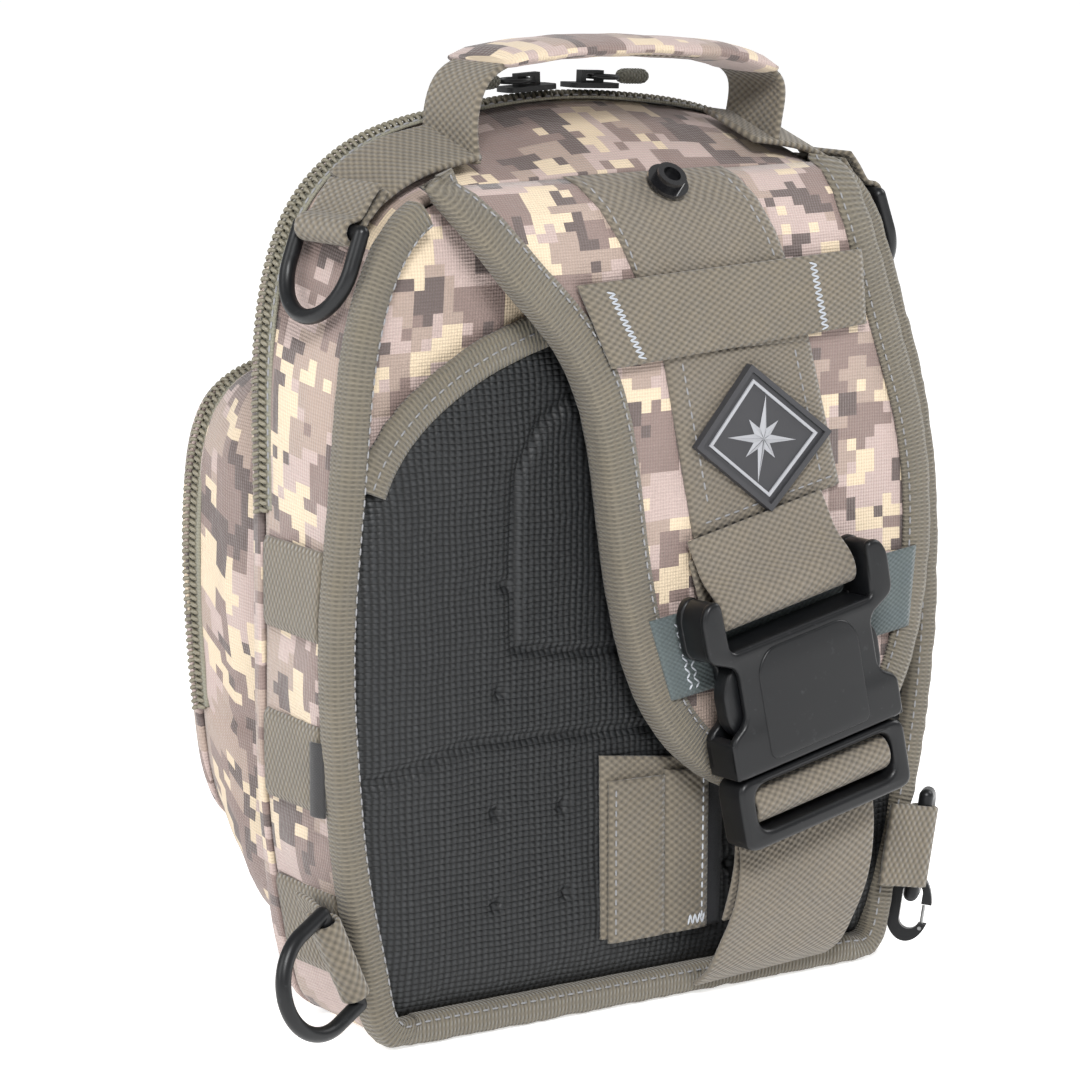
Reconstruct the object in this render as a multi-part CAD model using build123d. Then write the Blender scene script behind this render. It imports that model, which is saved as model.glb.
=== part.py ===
"""A tactical sling bag: zip-open main compartment and front pocket, padded sling strap with a
side-release buckle, carry handle, swinging D-rings and a snap hook.

Frame, in millimetres: +Z up, +Y from the wearer's back towards the front pocket, +X across.
The origin is the middle of the base, where the bag rests. One STEP file per sub-part.
"""

from build123d import *
from math import asin, cos, degrees, radians, sin
import os

# ---------------------------------------------------------------- driving dimensions
WALL = 2.5  # fabric, lining and foam of a wall
GAP = 0.3  # clearance between neighbouring soft pieces
WEB = 1.4  # thickness of webbing
WEB_25 = 25.0
WEB_50 = 50.0

Y_BACK = -21.0  # where the gusset meets the back panel
Y_ZIP = 17.0  # the main zip's line
Y_FRONT = 27.5  # outer face of the main compartment's front panel
Y_POCKET_MID = 55.0
Y_POCKET_ZIP = 75.5  # the pocket zip's line
Y_POCKET = 88.0  # outer face of the front pocket

# Outlines: (half width, height) from the base corner over the side to the middle of the top.
OUTLINE_BACK = [(82, 0), (90, 5), (95, 19), (101, 47), (104.5, 78), (106, 112), (101.5, 165), (94.5, 208),
                (80, 231), (45, 238.5), (0, 239.5)]
OUTLINE_ZIP = [(78, 0), (88, 6), (93, 22), (98, 50), (100, 110), (100, 165), (97.5, 206), (87, 232),
               (70, 246), (36, 254.4), (0, 257)]
OUTLINE_FRONT = [(72, 5), (86, 16), (92, 50), (94, 110), (94, 165), (91.5, 203), (81, 228), (65, 242),
                 (34, 249), (0, 251)]
OUTLINE_PAD = [(84, 11), (93, 25), (97, 60), (98.5, 100), (96, 139), (87.5, 163), (69, 180.5),
               (38, 193.5), (0, 199)]
OUTLINE_POCKET_ROOT = [(64, 9), (78, 20), (85, 60), (86, 110), (85, 150), (79, 174),
                       (57, 185), (0, 187.5)]
OUTLINE_POCKET_MID = [(62, 15), (76, 25), (84, 60), (87, 112), (86, 150), (79, 173),
                      (57, 183.5), (0, 186)]
OUTLINE_POCKET_ZIP = [(60, 38), (75, 47), (83, 72), (86, 112), (85, 148), (77, 171),
                      (55, 180.5), (0, 182.5)]
OUTLINE_POCKET_FACE = [(54, 56), (66, 62), (73, 82), (76.5, 112), (77.5, 140), (76, 158), (69, 170),
                       (52, 176), (0, 178)]

Z_FLAP = 190.0  # the main flap folds here, just above the pocket
Z_ZIP_END = 147.0  # lower ends of the main zip
Z_LID = 80.0  # the pocket's lid folds here
ARCH_RADIUS = 250.0  # the main zip's top, where the sliders run
ARCH_TOP = 257.0
POCKET_SLIDER_Z = 184.0

Y_STRAP_BACK = -33.0  # sling strap pad, side towards the back panel
Y_STRAP_FACE = -43.0
STRAP_EDGE = [(-75, 241), (-70.5, 232), (-64, 222.5), (-57.5, 214), (-49, 205), (-39.5, 195),
              (-33, 185.5), (-28.5, 175), (-25.5, 163), (-22, 140), (-16.5, 112), (-5, 85), (14, 67),
              (38, 60), (64, 66), (82, 85), (91, 115), (92, 145), (88, 168),
              (80.5, 190), (73, 212), (69.5, 228), (71, 241)]
# The pad's two sides as (y, z): it hangs straight, and curls over to the bag's top seam.
STRAP_FRONT_LINE = [(-43, 50), (-43, 212), (-41.6, 222), (-37.5, 231), (-31, 237), (-24.2, 239.5)]
STRAP_BACK_LINE = [(-33, 50), (-33, 210), (-32, 219), (-29.3, 227), (-26.5, 231.5), (-24.2, 234.5)]

BUCKLE_CENTRE = (35.7, -46.6, 90.8)
BUCKLE_TILT = 12.0
BUCKLE_DEEP = 14.0
RELEASE_TRAVEL = 37.0


# ---------------------------------------------------------------- shared builders


def drawn_in(x, z):
    """The right side of the bag is narrower low down and at the shoulder, where the sling pulls on it."""
    pull = [(-50, 4.5), (0, 4.5), (30, 5), (90, 0), (165, 0), (208, 7), (231, 4.5), (400, 3)]
    for (z0, a), (z1, b) in zip(pull[:-1], pull[1:]):
        if z0 <= z <= z1:
            return x - (a + (b - a) * (z - z0) / (z1 - z0)) * min(1, x / 60)
    return x


def outline_wire(keys, y):
    """Closed outline at depth y: one smooth curve over both sides and the top, and a straight base."""
    right = [Vector(drawn_in(x, z), y, z) for x, z in keys]
    left = [Vector(-x, y, z) for x, z in reversed(keys[:-1])]
    return Wire([Edge.make_spline(right + left), Edge.make_line(left[-1], right[0])])


def resized(keys, grow):
    """The same outline moved outwards by about grow on every side."""
    wide = max(x for x, _ in keys)
    low, high = keys[0][1], keys[-1][1]
    middle, half = (low + high) / 2, (high - low) / 2
    return [(x * (wide + grow) / wide, middle + (z - middle) * (half + grow) / half) for x, z in keys]


def loft_block(*sections):
    """Solid through outlines, each given as (keys, y)."""
    return Solid.make_loft([outline_wire(keys, y) for keys, y in sections], ruled=True)


def plate(keys, y_from, y_to):
    return loft_block((keys, y_from), (keys, y_to))


def ring(outer, inner, y_from, y_to):
    """A band that follows an outline all the way round."""
    return plate(outer, y_from, y_to) - plate(inner, y_from - 1, y_to + 1)


def space(low, high):
    """Axis-aligned block between two corners."""
    size = [h - l for l, h in zip(low, high)]
    centre = [(l + h) / 2 for l, h in zip(low, high)]
    return Pos(*centre) * Box(*size)


def above(z):
    return space((-200, -200, z), (200, 200, 400))


def below(z):
    return space((-200, -200, -100), (200, 200, z))


def mirrored(shape):
    return shape.mirror(Plane.YZ)


def bent_web(points, width, plane, thick=WEB):
    """Webbing that follows a polyline drawn in a plane, centred on it."""
    path = Polyline(*points)
    return extrude(plane * trace(path, line_width=thick), width / 2, both=True)


# ---------------------------------------------------------------- main compartment


def main_gusset():
    """Gusset between the back panel and the main zip, on a flat base that the bag rests on."""
    back = [(OUTLINE_BACK[0][0], 0.3)] + OUTLINE_BACK[1:]
    front = [(OUTLINE_ZIP[0][0], 0.3)] + OUTLINE_ZIP[1:]
    inner_back, inner_front = resized(OUTLINE_BACK, -WALL), resized(OUTLINE_ZIP, -WALL)
    outer = loft_block((back, Y_BACK), (front, Y_ZIP - 1.5))
    inner = loft_block((inner_back, Y_BACK - 0.1), (inner_front, Y_ZIP - 1.4))
    corners = [(-back[0][0], Y_BACK + 0.1), (drawn_in(back[0][0], 0), Y_BACK + 0.1)]
    corners += [(drawn_in(front[0][0], 0), Y_ZIP - 1.7), (-front[0][0], Y_ZIP - 1.7)]
    foot = extrude(make_face(Polyline(*corners, close=True)), 1.3)
    return outer - inner + foot


def main_front():
    """Front panel with its own narrow gusset, one shell open towards the zip."""
    outer = loft_block((OUTLINE_ZIP, Y_ZIP + 1.5), (OUTLINE_FRONT, Y_FRONT))
    inner = loft_block(
        (resized(OUTLINE_ZIP, -WALL), Y_ZIP + 1.4), (resized(OUTLINE_FRONT, -WALL), Y_FRONT - WALL)
    )
    return outer - inner


def back_panel():
    return plate(resized(OUTLINE_BACK, -4.8), Y_BACK - 3, Y_BACK - GAP)


def back_foam():
    return loft_block((resized(OUTLINE_PAD, -1.5), Y_BACK - 3.2), (resized(OUTLINE_PAD, -3), Y_BACK - 7))


def back_mesh():
    return plate(resized(OUTLINE_PAD, -1.5), Y_BACK - 8.2, Y_BACK - 7.1)


def back_binding():
    """Wide tape over the back panel's edge, open at the top where the sling strap is sewn in."""
    band = ring(resized(OUTLINE_BACK, 2.2), resized(OUTLINE_BACK, -4.5), Y_BACK - 8.5, Y_BACK - GAP)
    return (band & above(0)) - space((-78, -60, 222), (74, 0, 300))


def arch_binding():
    """Tape over the top edge of the mesh pad."""
    band = ring(resized(OUTLINE_PAD, 6.5), OUTLINE_PAD, Y_BACK - 8.5, Y_BACK - 3.2)
    return (band & above(166)) - plate_outside_back()


def plate_outside_back():
    """Everything outside the back binding's inner edge, used to trim what lies inside it."""
    far = plate([(x * 1.4, z if z < 20 else z * 1.4) for x, z in OUTLINE_BACK], Y_BACK - 20, Y_BACK)
    return far - plate(resized(OUTLINE_BACK, -4.8), Y_BACK - 21, Y_BACK + 1)


def inner_organizer():
    """Slip pocket inside the main compartment, sewn to the back panel."""
    low, high = 14, 150
    leaf = space((-78, Y_BACK + 0.5, low), (78, Y_BACK + 1.7, high))
    front = space((-78, Y_BACK + 6, low), (78, Y_BACK + 7.2, high - 30))
    floor = space((-78, Y_BACK + 1.7, low), (78, Y_BACK + 6, low + 1.2))
    side = space((-78, Y_BACK + 1.7, low + 1.2), (-76.8, Y_BACK + 6, high - 30))
    return leaf + front + floor + side + mirrored(side)


def base_board():
    return space((-74, Y_BACK + 8.5, 3.4), (74, Y_ZIP - 3, 5.2))


# ---------------------------------------------------------------- zips


def zip_band(keys, inner_grow, outer_grow, y_from, y_to):
    return ring(resized(keys, outer_grow), resized(keys, inner_grow), y_from, y_to)


def main_zip(side):
    """One half of the main zip, coil and tape; side is -1 on the gusset and 1 on the front."""
    coil = sorted((Y_ZIP + side * 0.2, Y_ZIP + side * 2.2))
    tape = sorted((Y_ZIP + side * 0.2, Y_ZIP + side * 1.3))
    band = zip_band(OUTLINE_ZIP, 0.1, 2.2, *coil) + zip_band(OUTLINE_ZIP, -1.2, 0.2, *tape)
    return band & above(Z_ZIP_END)


def pocket_zip(side):
    """One half of the pocket's zip; side is -1 towards the bag and 1 on the lid."""
    near, far = sorted((Y_POCKET_ZIP + side * 0.2, Y_POCKET_ZIP + side * 1.8))
    return zip_band(OUTLINE_POCKET_ZIP, -1.0, 1.8, near, far) & above(Z_LID + 0.4)


def slider(x, y, top_z, tilt, length=17.0, wide=9.0):
    """Zip slider over a coil: a top plate with a bridge that its pull hangs on."""
    body = Pos(0, 0, 1.7) * Box(length, wide, 1.5)
    body = fillet(body.edges().filter_by(Axis.Z), 2.5)
    bridge = Pos(0, 0, 4.2) * Box(8, 2.6, 3.6) - Pos(0, 0, 3.95) * Box(4.6, 3, 2.0)
    return Pos(x, y, top_z) * Rot(0, tilt, 0) * (body + bridge)


def pull_loop(x, y, top_z, tilt, side):
    """Moulded loop through the slider's bridge, and the cord grip on it, lying to one side."""
    loop = Pos(side * 4.4, 0, 4.1) * Torus(4.4, 0.7)
    grip = Pos(side * 15.2, 0, 4.4) * Rot(0, 90, 0) * Cylinder(2.2, 11.0)
    grip = fillet(grip.edges(), 1.4)
    place = Pos(x, y, top_z) * Rot(0, tilt, 0)
    return place * loop, place * grip


def arch_tilt(x):
    """Rotation about Y that lays a piece on the zip's top arc at x."""
    return degrees(asin(x / ARCH_RADIUS))


def arch_z(x):
    return ARCH_TOP - ARCH_RADIUS + ARCH_RADIUS * cos(asin(x / ARCH_RADIUS))


# ---------------------------------------------------------------- front pocket


def pocket_walls(grow, y_from=Y_FRONT + GAP, y_to=Y_POCKET_ZIP - 2):
    """Solid inside the pocket's gusset, grown outwards."""
    keys = (OUTLINE_POCKET_ROOT, OUTLINE_POCKET_MID, OUTLINE_POCKET_ZIP)
    return loft_block(*[(resized(k, grow), y) for k, y in zip(keys, (y_from, Y_POCKET_MID, y_to))])


def pocket_gusset():
    return pocket_walls(0) - pocket_walls(-WALL, Y_FRONT, Y_POCKET_ZIP - 1.9)


def pocket_face():
    """Pocket's front shell, open towards the zip."""
    outer = loft_block((OUTLINE_POCKET_ZIP, Y_POCKET_ZIP + 2), (OUTLINE_POCKET_FACE, Y_POCKET))
    inner = loft_block(
        (resized(OUTLINE_POCKET_ZIP, -WALL), Y_POCKET_ZIP + 1.9),
        (resized(OUTLINE_POCKET_FACE, -WALL), Y_POCKET - WALL),
    )
    return outer - inner


def pocket_webbing():
    """Two rows of load-bearing webbing across the lid."""
    rows = [space((-60, Y_POCKET + 0.2, z), (60, Y_POCKET + 0.2 + WEB, z + WEB_25)) for z in (90, 128)]
    return Compound(rows)


# ---------------------------------------------------------------- webbing and rings on the sides


def skin_patch(low, high, side, depth_from=Y_BACK + 3, depth_to=Y_ZIP - 2.5):
    """Webbing that lies on one side of the gusset between two heights."""
    near = loft_block((resized(OUTLINE_BACK, 0.4), Y_BACK), (resized(OUTLINE_ZIP, 0.4), Y_ZIP - 1.5))
    far = loft_block((resized(OUTLINE_BACK, 1.9), Y_BACK), (resized(OUTLINE_ZIP, 1.9), Y_ZIP - 1.5))
    reach = sorted((side * 50, side * 150))
    return (far - near) & space((reach[0], depth_from, low), (reach[1], depth_to, high))


RING_WIRE = 4.4
RING_LONG = 34.0
RING_OUT = 27.0


def d_ring():
    """Moulded D-ring in its own frame: bar along Y at the origin, curve towards -Z."""
    half = RING_LONG / 2
    r = RING_WIRE / 2
    bar = Rot(90, 0, 0) * Cylinder(r, RING_LONG - RING_WIRE)
    centre = Wire(
        [
            Edge.make_line((0, -half + r, 0), (0, -half + r, -RING_OUT * 0.35)),
            Edge.make_three_point_arc(
                (0, -half + r, -RING_OUT * 0.35), (0, 0, -RING_OUT + r), (0, half - r, -RING_OUT * 0.35)
            ),
            Edge.make_line((0, half - r, -RING_OUT * 0.35), (0, half - r, 0)),
        ]
    )
    start = Plane(origin=centre @ 0, z_dir=centre % 0)
    curve = sweep(start * Circle(r), path=centre, transition=Transition.RIGHT)
    knuckles = Pos(0, -half + r, 0) * Sphere(r) + Pos(0, half - r, 0) * Sphere(r)
    return bar + curve + knuckles


def ring_loop(lead, side=0):
    """Webbing folded round a ring's bar, in the ring's frame; its sewn end runs along +Z for lead."""
    inner = RING_WIRE / 2 + 0.35
    outer = inner + WEB
    width = WEB_25 - 0.5
    bore = Rot(90, 0, 0) * Cylinder(inner, width + 2)
    loop = Rot(90, 0, 0) * Cylinder(outer, width) - bore
    middle = side * (inner + WEB / 2)
    half = WEB / 2 if side else WEB
    low = 0 if side else inner + 0.5
    tail = space((middle - half, -width / 2, low), (middle + half, width / 2, lead))
    return loop + (tail - bore)


def top_ring_frame():
    """Bar along Y, sewn end up the shoulder."""
    turn = radians(40)
    across = (cos(turn), 0, -sin(turn))
    return Plane(origin=(-94.0, -8.5, 227.3), x_dir=across, z_dir=(sin(turn), 0, cos(turn)))


def bottom_left_frame():
    """Bar outside the corner of the back panel, sewn end forwards along the side; Y runs downwards."""
    turn = radians(BOTTOM_LEFT_LEAN)
    return Plane(origin=BOTTOM_LEFT, x_dir=(cos(turn), 0, sin(turn)), z_dir=(0, 1, 0))


def bottom_right_frame():
    """Bar outside the corner of the back panel, sewn end inwards over the binding; Y runs upwards."""
    turn = radians(BOTTOM_RIGHT_LEAN)
    return Plane(origin=BOTTOM_RIGHT, x_dir=(0, -1, 0), z_dir=(-cos(turn), 0, sin(turn)))


TOP_SWING = -20.0
TOP_RIGHT_SHIFT = -5.5  # the right shoulder is drawn in
BOTTOM_LEFT = (-107.2, -30.5, 29.5)
BOTTOM_LEFT_LEAN = 24.0
BOTTOM_LEFT_SWING = 74.0
BOTTOM_RIGHT = (100.6, -30.9, 33.0)
BOTTOM_RIGHT_LEAN = 11.0
BOTTOM_RIGHT_SWING = 45.0


# ---------------------------------------------------------------- handle
HANDLE_Y = -6.5
HANDLE_HINGE_Z = 250.5
HANDLE_PATH = [(-52.5, 250.9), (-52, 258), (-48, 266.5), (-38, 271.2), (0, 272), (30, 270),
               (49, 266.5), (55.5, 262), (55.2, 250.9)]


def handle_webbing():
    """One strip over the top, its feet cut to a point so that the handle can fold."""
    side = Plane(origin=(0, HANDLE_Y, 0), x_dir=(1, 0, 0), z_dir=(0, -1, 0))
    across = Plane(origin=(0, HANDLE_Y, 0), x_dir=(0, 1, 0), z_dir=(1, 0, 0))
    low, high = HANDLE_HINGE_Z, HANDLE_HINGE_Z + 8
    cut = make_face(Polyline((1.5, low - 9), (1.5, low), (14, high), (14, low - 9), close=True))
    corner = extrude(across * cut, 80, both=True)
    other = corner.mirror(Plane(across.origin, z_dir=(0, 1, 0)))
    return bent_web(HANDLE_PATH, WEB_25, side) - corner - other


def handle_sleeve():
    """Padded tube over the middle of the handle, hollow for its webbing."""
    side = Plane(origin=(0, HANDLE_Y, 0), x_dir=(1, 0, 0), z_dir=(0, -1, 0))
    path = HANDLE_PATH[3:7]
    hollow = bent_web([(-50, 270.6)] + path[1:3] + [(64, 262)], WEB_25 + 0.8, side, 4.4)
    return bent_web([(-41, 270.6)] + path[1:3] + [(52, 265.0)], 31, side, 9.5) - hollow


# ---------------------------------------------------------------- sling strap


def grown(points, amount):
    """Points of an open outline, each moved sideways along its own normal."""
    moved = []
    for i, (x, z) in enumerate(points):
        before = points[max(i - 1, 0)]
        after = points[min(i + 1, len(points) - 1)]
        along = Vector(after[0] - before[0], after[1] - before[1], 0).normalized()
        moved.append((x + along.Y * amount, z - along.X * amount))
    return moved


def strap_face(grow, y):
    """Outline of the strap pad, straight along its top seam, grown outwards."""
    side = Plane(origin=(0, y, 0), x_dir=(1, 0, 0), z_dir=(0, -1, 0))
    edge = Spline(*grown(STRAP_EDGE, grow))
    return side * make_face([edge, Line(edge @ 1, edge @ 0)])


def strap_block(grow, y_from, y_to):
    return extrude(strap_face(grow, y_to), y_to - y_from)


def strap_layer(front, back):
    """Everything between two lines of (y, z) points, right across the strap."""
    side = Plane(origin=(0, 0, 0), x_dir=(0, 1, 0), z_dir=(1, 0, 0))
    return extrude(side * make_face(Polyline(*front, *reversed(back), close=True)), 130, both=True)


def strap_pad():
    return strap_block(-3.4, -60, -20) & strap_layer(STRAP_FRONT_LINE, STRAP_BACK_LINE)


def strap_binding():
    band = strap_block(0, -60, -20) - strap_block(-3.0, -61, -19)
    return band & strap_layer(grown(STRAP_FRONT_LINE, -0.6), grown(STRAP_BACK_LINE, 0.2)) & space(
        (-200, -200, 0), (200, -24.3, 400)
    )


def on_strap(corners, lift, thick=WEB):
    """A flat piece sewn on the face of the pad, following its curl."""
    face = Plane(origin=(0, -20, 0), x_dir=(1, 0, 0), z_dir=(0, -1, 0))
    block = extrude(face * make_face(Polyline(*corners, close=True)), 45)
    return block & strap_layer(grown(STRAP_FRONT_LINE, -lift - thick), grown(STRAP_FRONT_LINE, -lift))


def strap_webbing():
    """Load webbing sewn down the middle of the pad, as far as the buckle's loop."""
    corners = [(-28.5, 243), (-27.5, 234), (-6.5, 190), (4.8, 136.6), (57.5, 147.8), (46, 190),
               (27, 234), (28.5, 243)]
    return on_strap(corners, 0.2)


def strap_cross_webbing():
    corners = [(-40, 211.5), (62.5, 215), (64.5, 193.5), (-26.5, 187.5)]
    return on_strap(corners, 0.4 + WEB)


def strap_patch():
    """Blank moulded rubber patch, a diamond with a raised rim."""
    corners = [(22.4, 185.2), (2.8, 163.1), (30.1, 142.6), (51.9, 163.7)]
    face = Plane(origin=(0, Y_STRAP_FACE - 0.4 - WEB, 0), x_dir=(1, 0, 0), z_dir=(0, -1, 0))
    return extrude(face * make_face(Polyline(*corners, close=True)), 2.2)


def snap_stud():
    """Press stud at the head of the strap, on its curl: a flange and a hollow post."""
    flange = Cylinder(6.2, 1.2, align=(Align.CENTER, Align.CENTER, Align.MIN))
    post = Pos(0, 0, 1.2) * Cylinder(4.4, 2.6, align=(Align.CENTER, Align.CENTER, Align.MIN))
    hollow = Pos(0, 0, 1.8) * Cylinder(2.6, 4, align=(Align.CENTER, Align.CENTER, Align.MIN))
    place = Plane(origin=(1.5, -34.6, 236.5), x_dir=(1, 0, 0), z_dir=(0, -0.68, 0.735))
    return place * (flange + post - hollow)


# ---------------------------------------------------------------- buckle


def buckle_plane():
    """Buckle frame: x across, y up the strap, z outwards from the pad."""
    tilt = radians(BUCKLE_TILT)
    return Plane(origin=BUCKLE_CENTRE, x_dir=(cos(tilt), 0, sin(tilt)), z_dir=(0, -1, 0))


def symmetric_face(right_half):
    """Face from the right half of an outline, listed from bottom to top."""
    left_half = [(-x, y) for x, y in reversed(right_half)]
    return make_face(Polyline(*right_half, *left_half, close=True))


def buckle_female():
    half = [(31, -16), (31, -4), (25.5, 1), (25.5, 16), (33, 21), (33.5, 33), (31, 37)]
    body = extrude(symmetric_face(half), BUCKLE_DEEP)
    body = chamfer(body.edges().filter_by(GeomType.LINE).group_by(Axis.Z)[-1], 1.6)
    mouth = space((-28.5, -17, 3), (28.5, 17.5, 11))
    window = space((24.0, -4, 3), (40, 17.5, 11))
    slot = space((-26.5, 21, -1), (26.5, 38, 20))
    bar = space((-27.5, 29, 3.4), (27.5, 32.5, 7.4))
    return body - mouth - window - mirrored(window) - slot + bar


def buckle_male():
    rail = [(31, -38), (31, -17), (25.6, -17), (25.6, -38)]
    faces = [make_face(Polyline(*[(s * x, y) for x, y in rail], close=True)) for s in (1, -1)]
    rails = [extrude(face, BUCKLE_DEEP - 1) for face in faces]
    front_bar = space((-25.7, -38, 1.5), (25.7, -33.5, 8))
    web_bar = space((-25.7, -27.5, 4), (25.7, -24.5, 8.5))
    head_bar = space((-25.7, -19.2, 4), (25.7, -16.6, 10))
    guide = space((-6, -17, 4.2), (6, 13, 9.8))
    shell = rails[0] + rails[1] + front_bar + web_bar + head_bar
    return shell + guide


def buckle_prong():
    """Right spring prong with its thumb pad."""
    outline = [(15.5, -15.8), (22, -15.8), (22, -6), (25.6, -5), (28.0, 0), (28.0, 9), (25, 15),
               (19, 16.5), (17.5, 6), (15.5, -6)]
    return Pos(0, 0, 4) * extrude(make_face(Polyline(*outline, close=True)), 6)


def strap_end_loop():
    """End of the load webbing, folded round the female buckle's bar."""
    side = Plane(origin=(0, 0, 0), x_dir=(0, 1, 0), z_dir=(1, 0, 0))
    path = [(46.5, 2.2), (40, 4.4), (34.5, 8.9), (30.5, 9.4), (27.4, 8.2), (26.9, 3.0), (30.0, 1.2),
            (40, 0.2), (49, -0.2)]
    return bent_web(path, WEB_50 - 0.5, side)


def lower_strap():
    """Wide webbing from the bag's base, round the ladder bar and back down as a short tail."""
    side = Plane(origin=(0, 0, 0), x_dir=(0, 1, 0), z_dir=(1, 0, 0))
    path = [
        (-64, -3.4), (-50, -1.6), (-36, -1.3), (-29, -1.2), (-22.6, 1.0), (-21.4, 8), (-23.4, 10.6),
        (-27.8, 11.0), (-31.0, 7.6), (-31.2, 3.2), (-33.4, 0.4), (-38.5, 0.3), (-50, 0.2), (-64, -1.6),
        (-75, -5.6), (-82, -10.4), (-85, -15.0),
    ]
    return bent_web(path, WEB_50, side)

# ---------------------------------------------------------------- other sewn pieces


def stow_tab(rear):
    """Folded webbing tab low on the mesh: a layer sewn down, and a front leaf that lifts on the left."""
    y = Y_BACK - 8.5
    if rear:
        layer = space((-18.5, y - 1.5, 22), (20, y, 75))
        return layer + space((4.2, y - 3.0, 20.5), (22, y - 1.5, 68))
    return space((-16, y - 3.2, 20.5), (3.6, y - 1.8, 67))


def elastic_keeper():
    """Elastic band across the pad behind the buckle."""
    corners = [(-11.5, 115), (-3.5, 91.5), (84, 103.5), (86.5, 127)]
    face = Plane(origin=(0, Y_STRAP_FACE - 0.9, 0), x_dir=(1, 0, 0), z_dir=(0, -1, 0))
    return extrude(face * make_face(Polyline(*corners, close=True)), 1.0)


def side_label():
    """Blank woven label folded into the left seam."""
    near = plate(resized(OUTLINE_BACK, 2.6), Y_BACK - 3, Y_BACK + 2)
    far = plate(resized(OUTLINE_BACK, 3.4), Y_BACK - 3, Y_BACK + 2)
    return (far - near) & space((-150, Y_BACK - 3, 67), (-50, Y_BACK + 2, 89))


def side_stay(side):
    """Webbing from the main seam slanting down and forwards to the pocket's underside."""
    strip = Pos(side * 80, 22, 40) * Rot(30, 0, 0) * Box(60, WEB_25, 60)
    far = pocket_walls(2.2, Y_FRONT, Y_POCKET_ZIP)
    near = pocket_walls(0.6, Y_FRONT - 1, Y_POCKET_ZIP + 1)
    reach = sorted((side * 40, side * 120))
    return (far - near) & strip & space((reach[0], Y_FRONT + 1, 24), (reach[1], 53, 62))


# ---------------------------------------------------------------- snap hook


def hook_on_ring():
    """Frame on the lower leg of a ring: the wire runs along Z, with Y close to upwards."""
    spot = (0, -RING_LONG / 2 + RING_WIRE / 2, -7.0)
    return Plane(origin=spot, x_dir=(-1, 0, 0), z_dir=(0, 0, -1)).location


def snap_hook():
    """Crescent hook, its opening round the origin where the ring's wire passes; mouth on the left."""
    outer = Pos(0.4, -4.2) * Ellipse(6.8, 10.6)
    inner = Pos(-0.3, -4.0) * Rot(0, 0, 90) * SlotOverall(14, 6)
    mouth = Pos(-4.5, -5.9) * Rectangle(6, 5.8)
    hook = extrude(outer - inner - mouth, 2.2, both=True)
    slot = Pos(-4.4, -10.0, 0) * Box(3.6, 3.4, 1.9)
    return hook - slot - Pos(-3.9, -10.3, 0) * Cylinder(0.6, 8)


def snap_pin():
    return Pos(-3.9, -10.3, 0) * Cylinder(0.55, 5.4)


def snap_gate():
    """Wire gate on the pin, closing the hook's mouth."""
    knuckle = Pos(-3.9, -10.3, 0) * (Cylinder(1.15, 1.5) - Cylinder(0.62, 2))
    arm = Pos(-4.1, -6.35, 0) * Rot(90, 0, 0) * Cylinder(0.5, 5.9)
    return knuckle + arm


# ---------------------------------------------------------------- assembly


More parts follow.
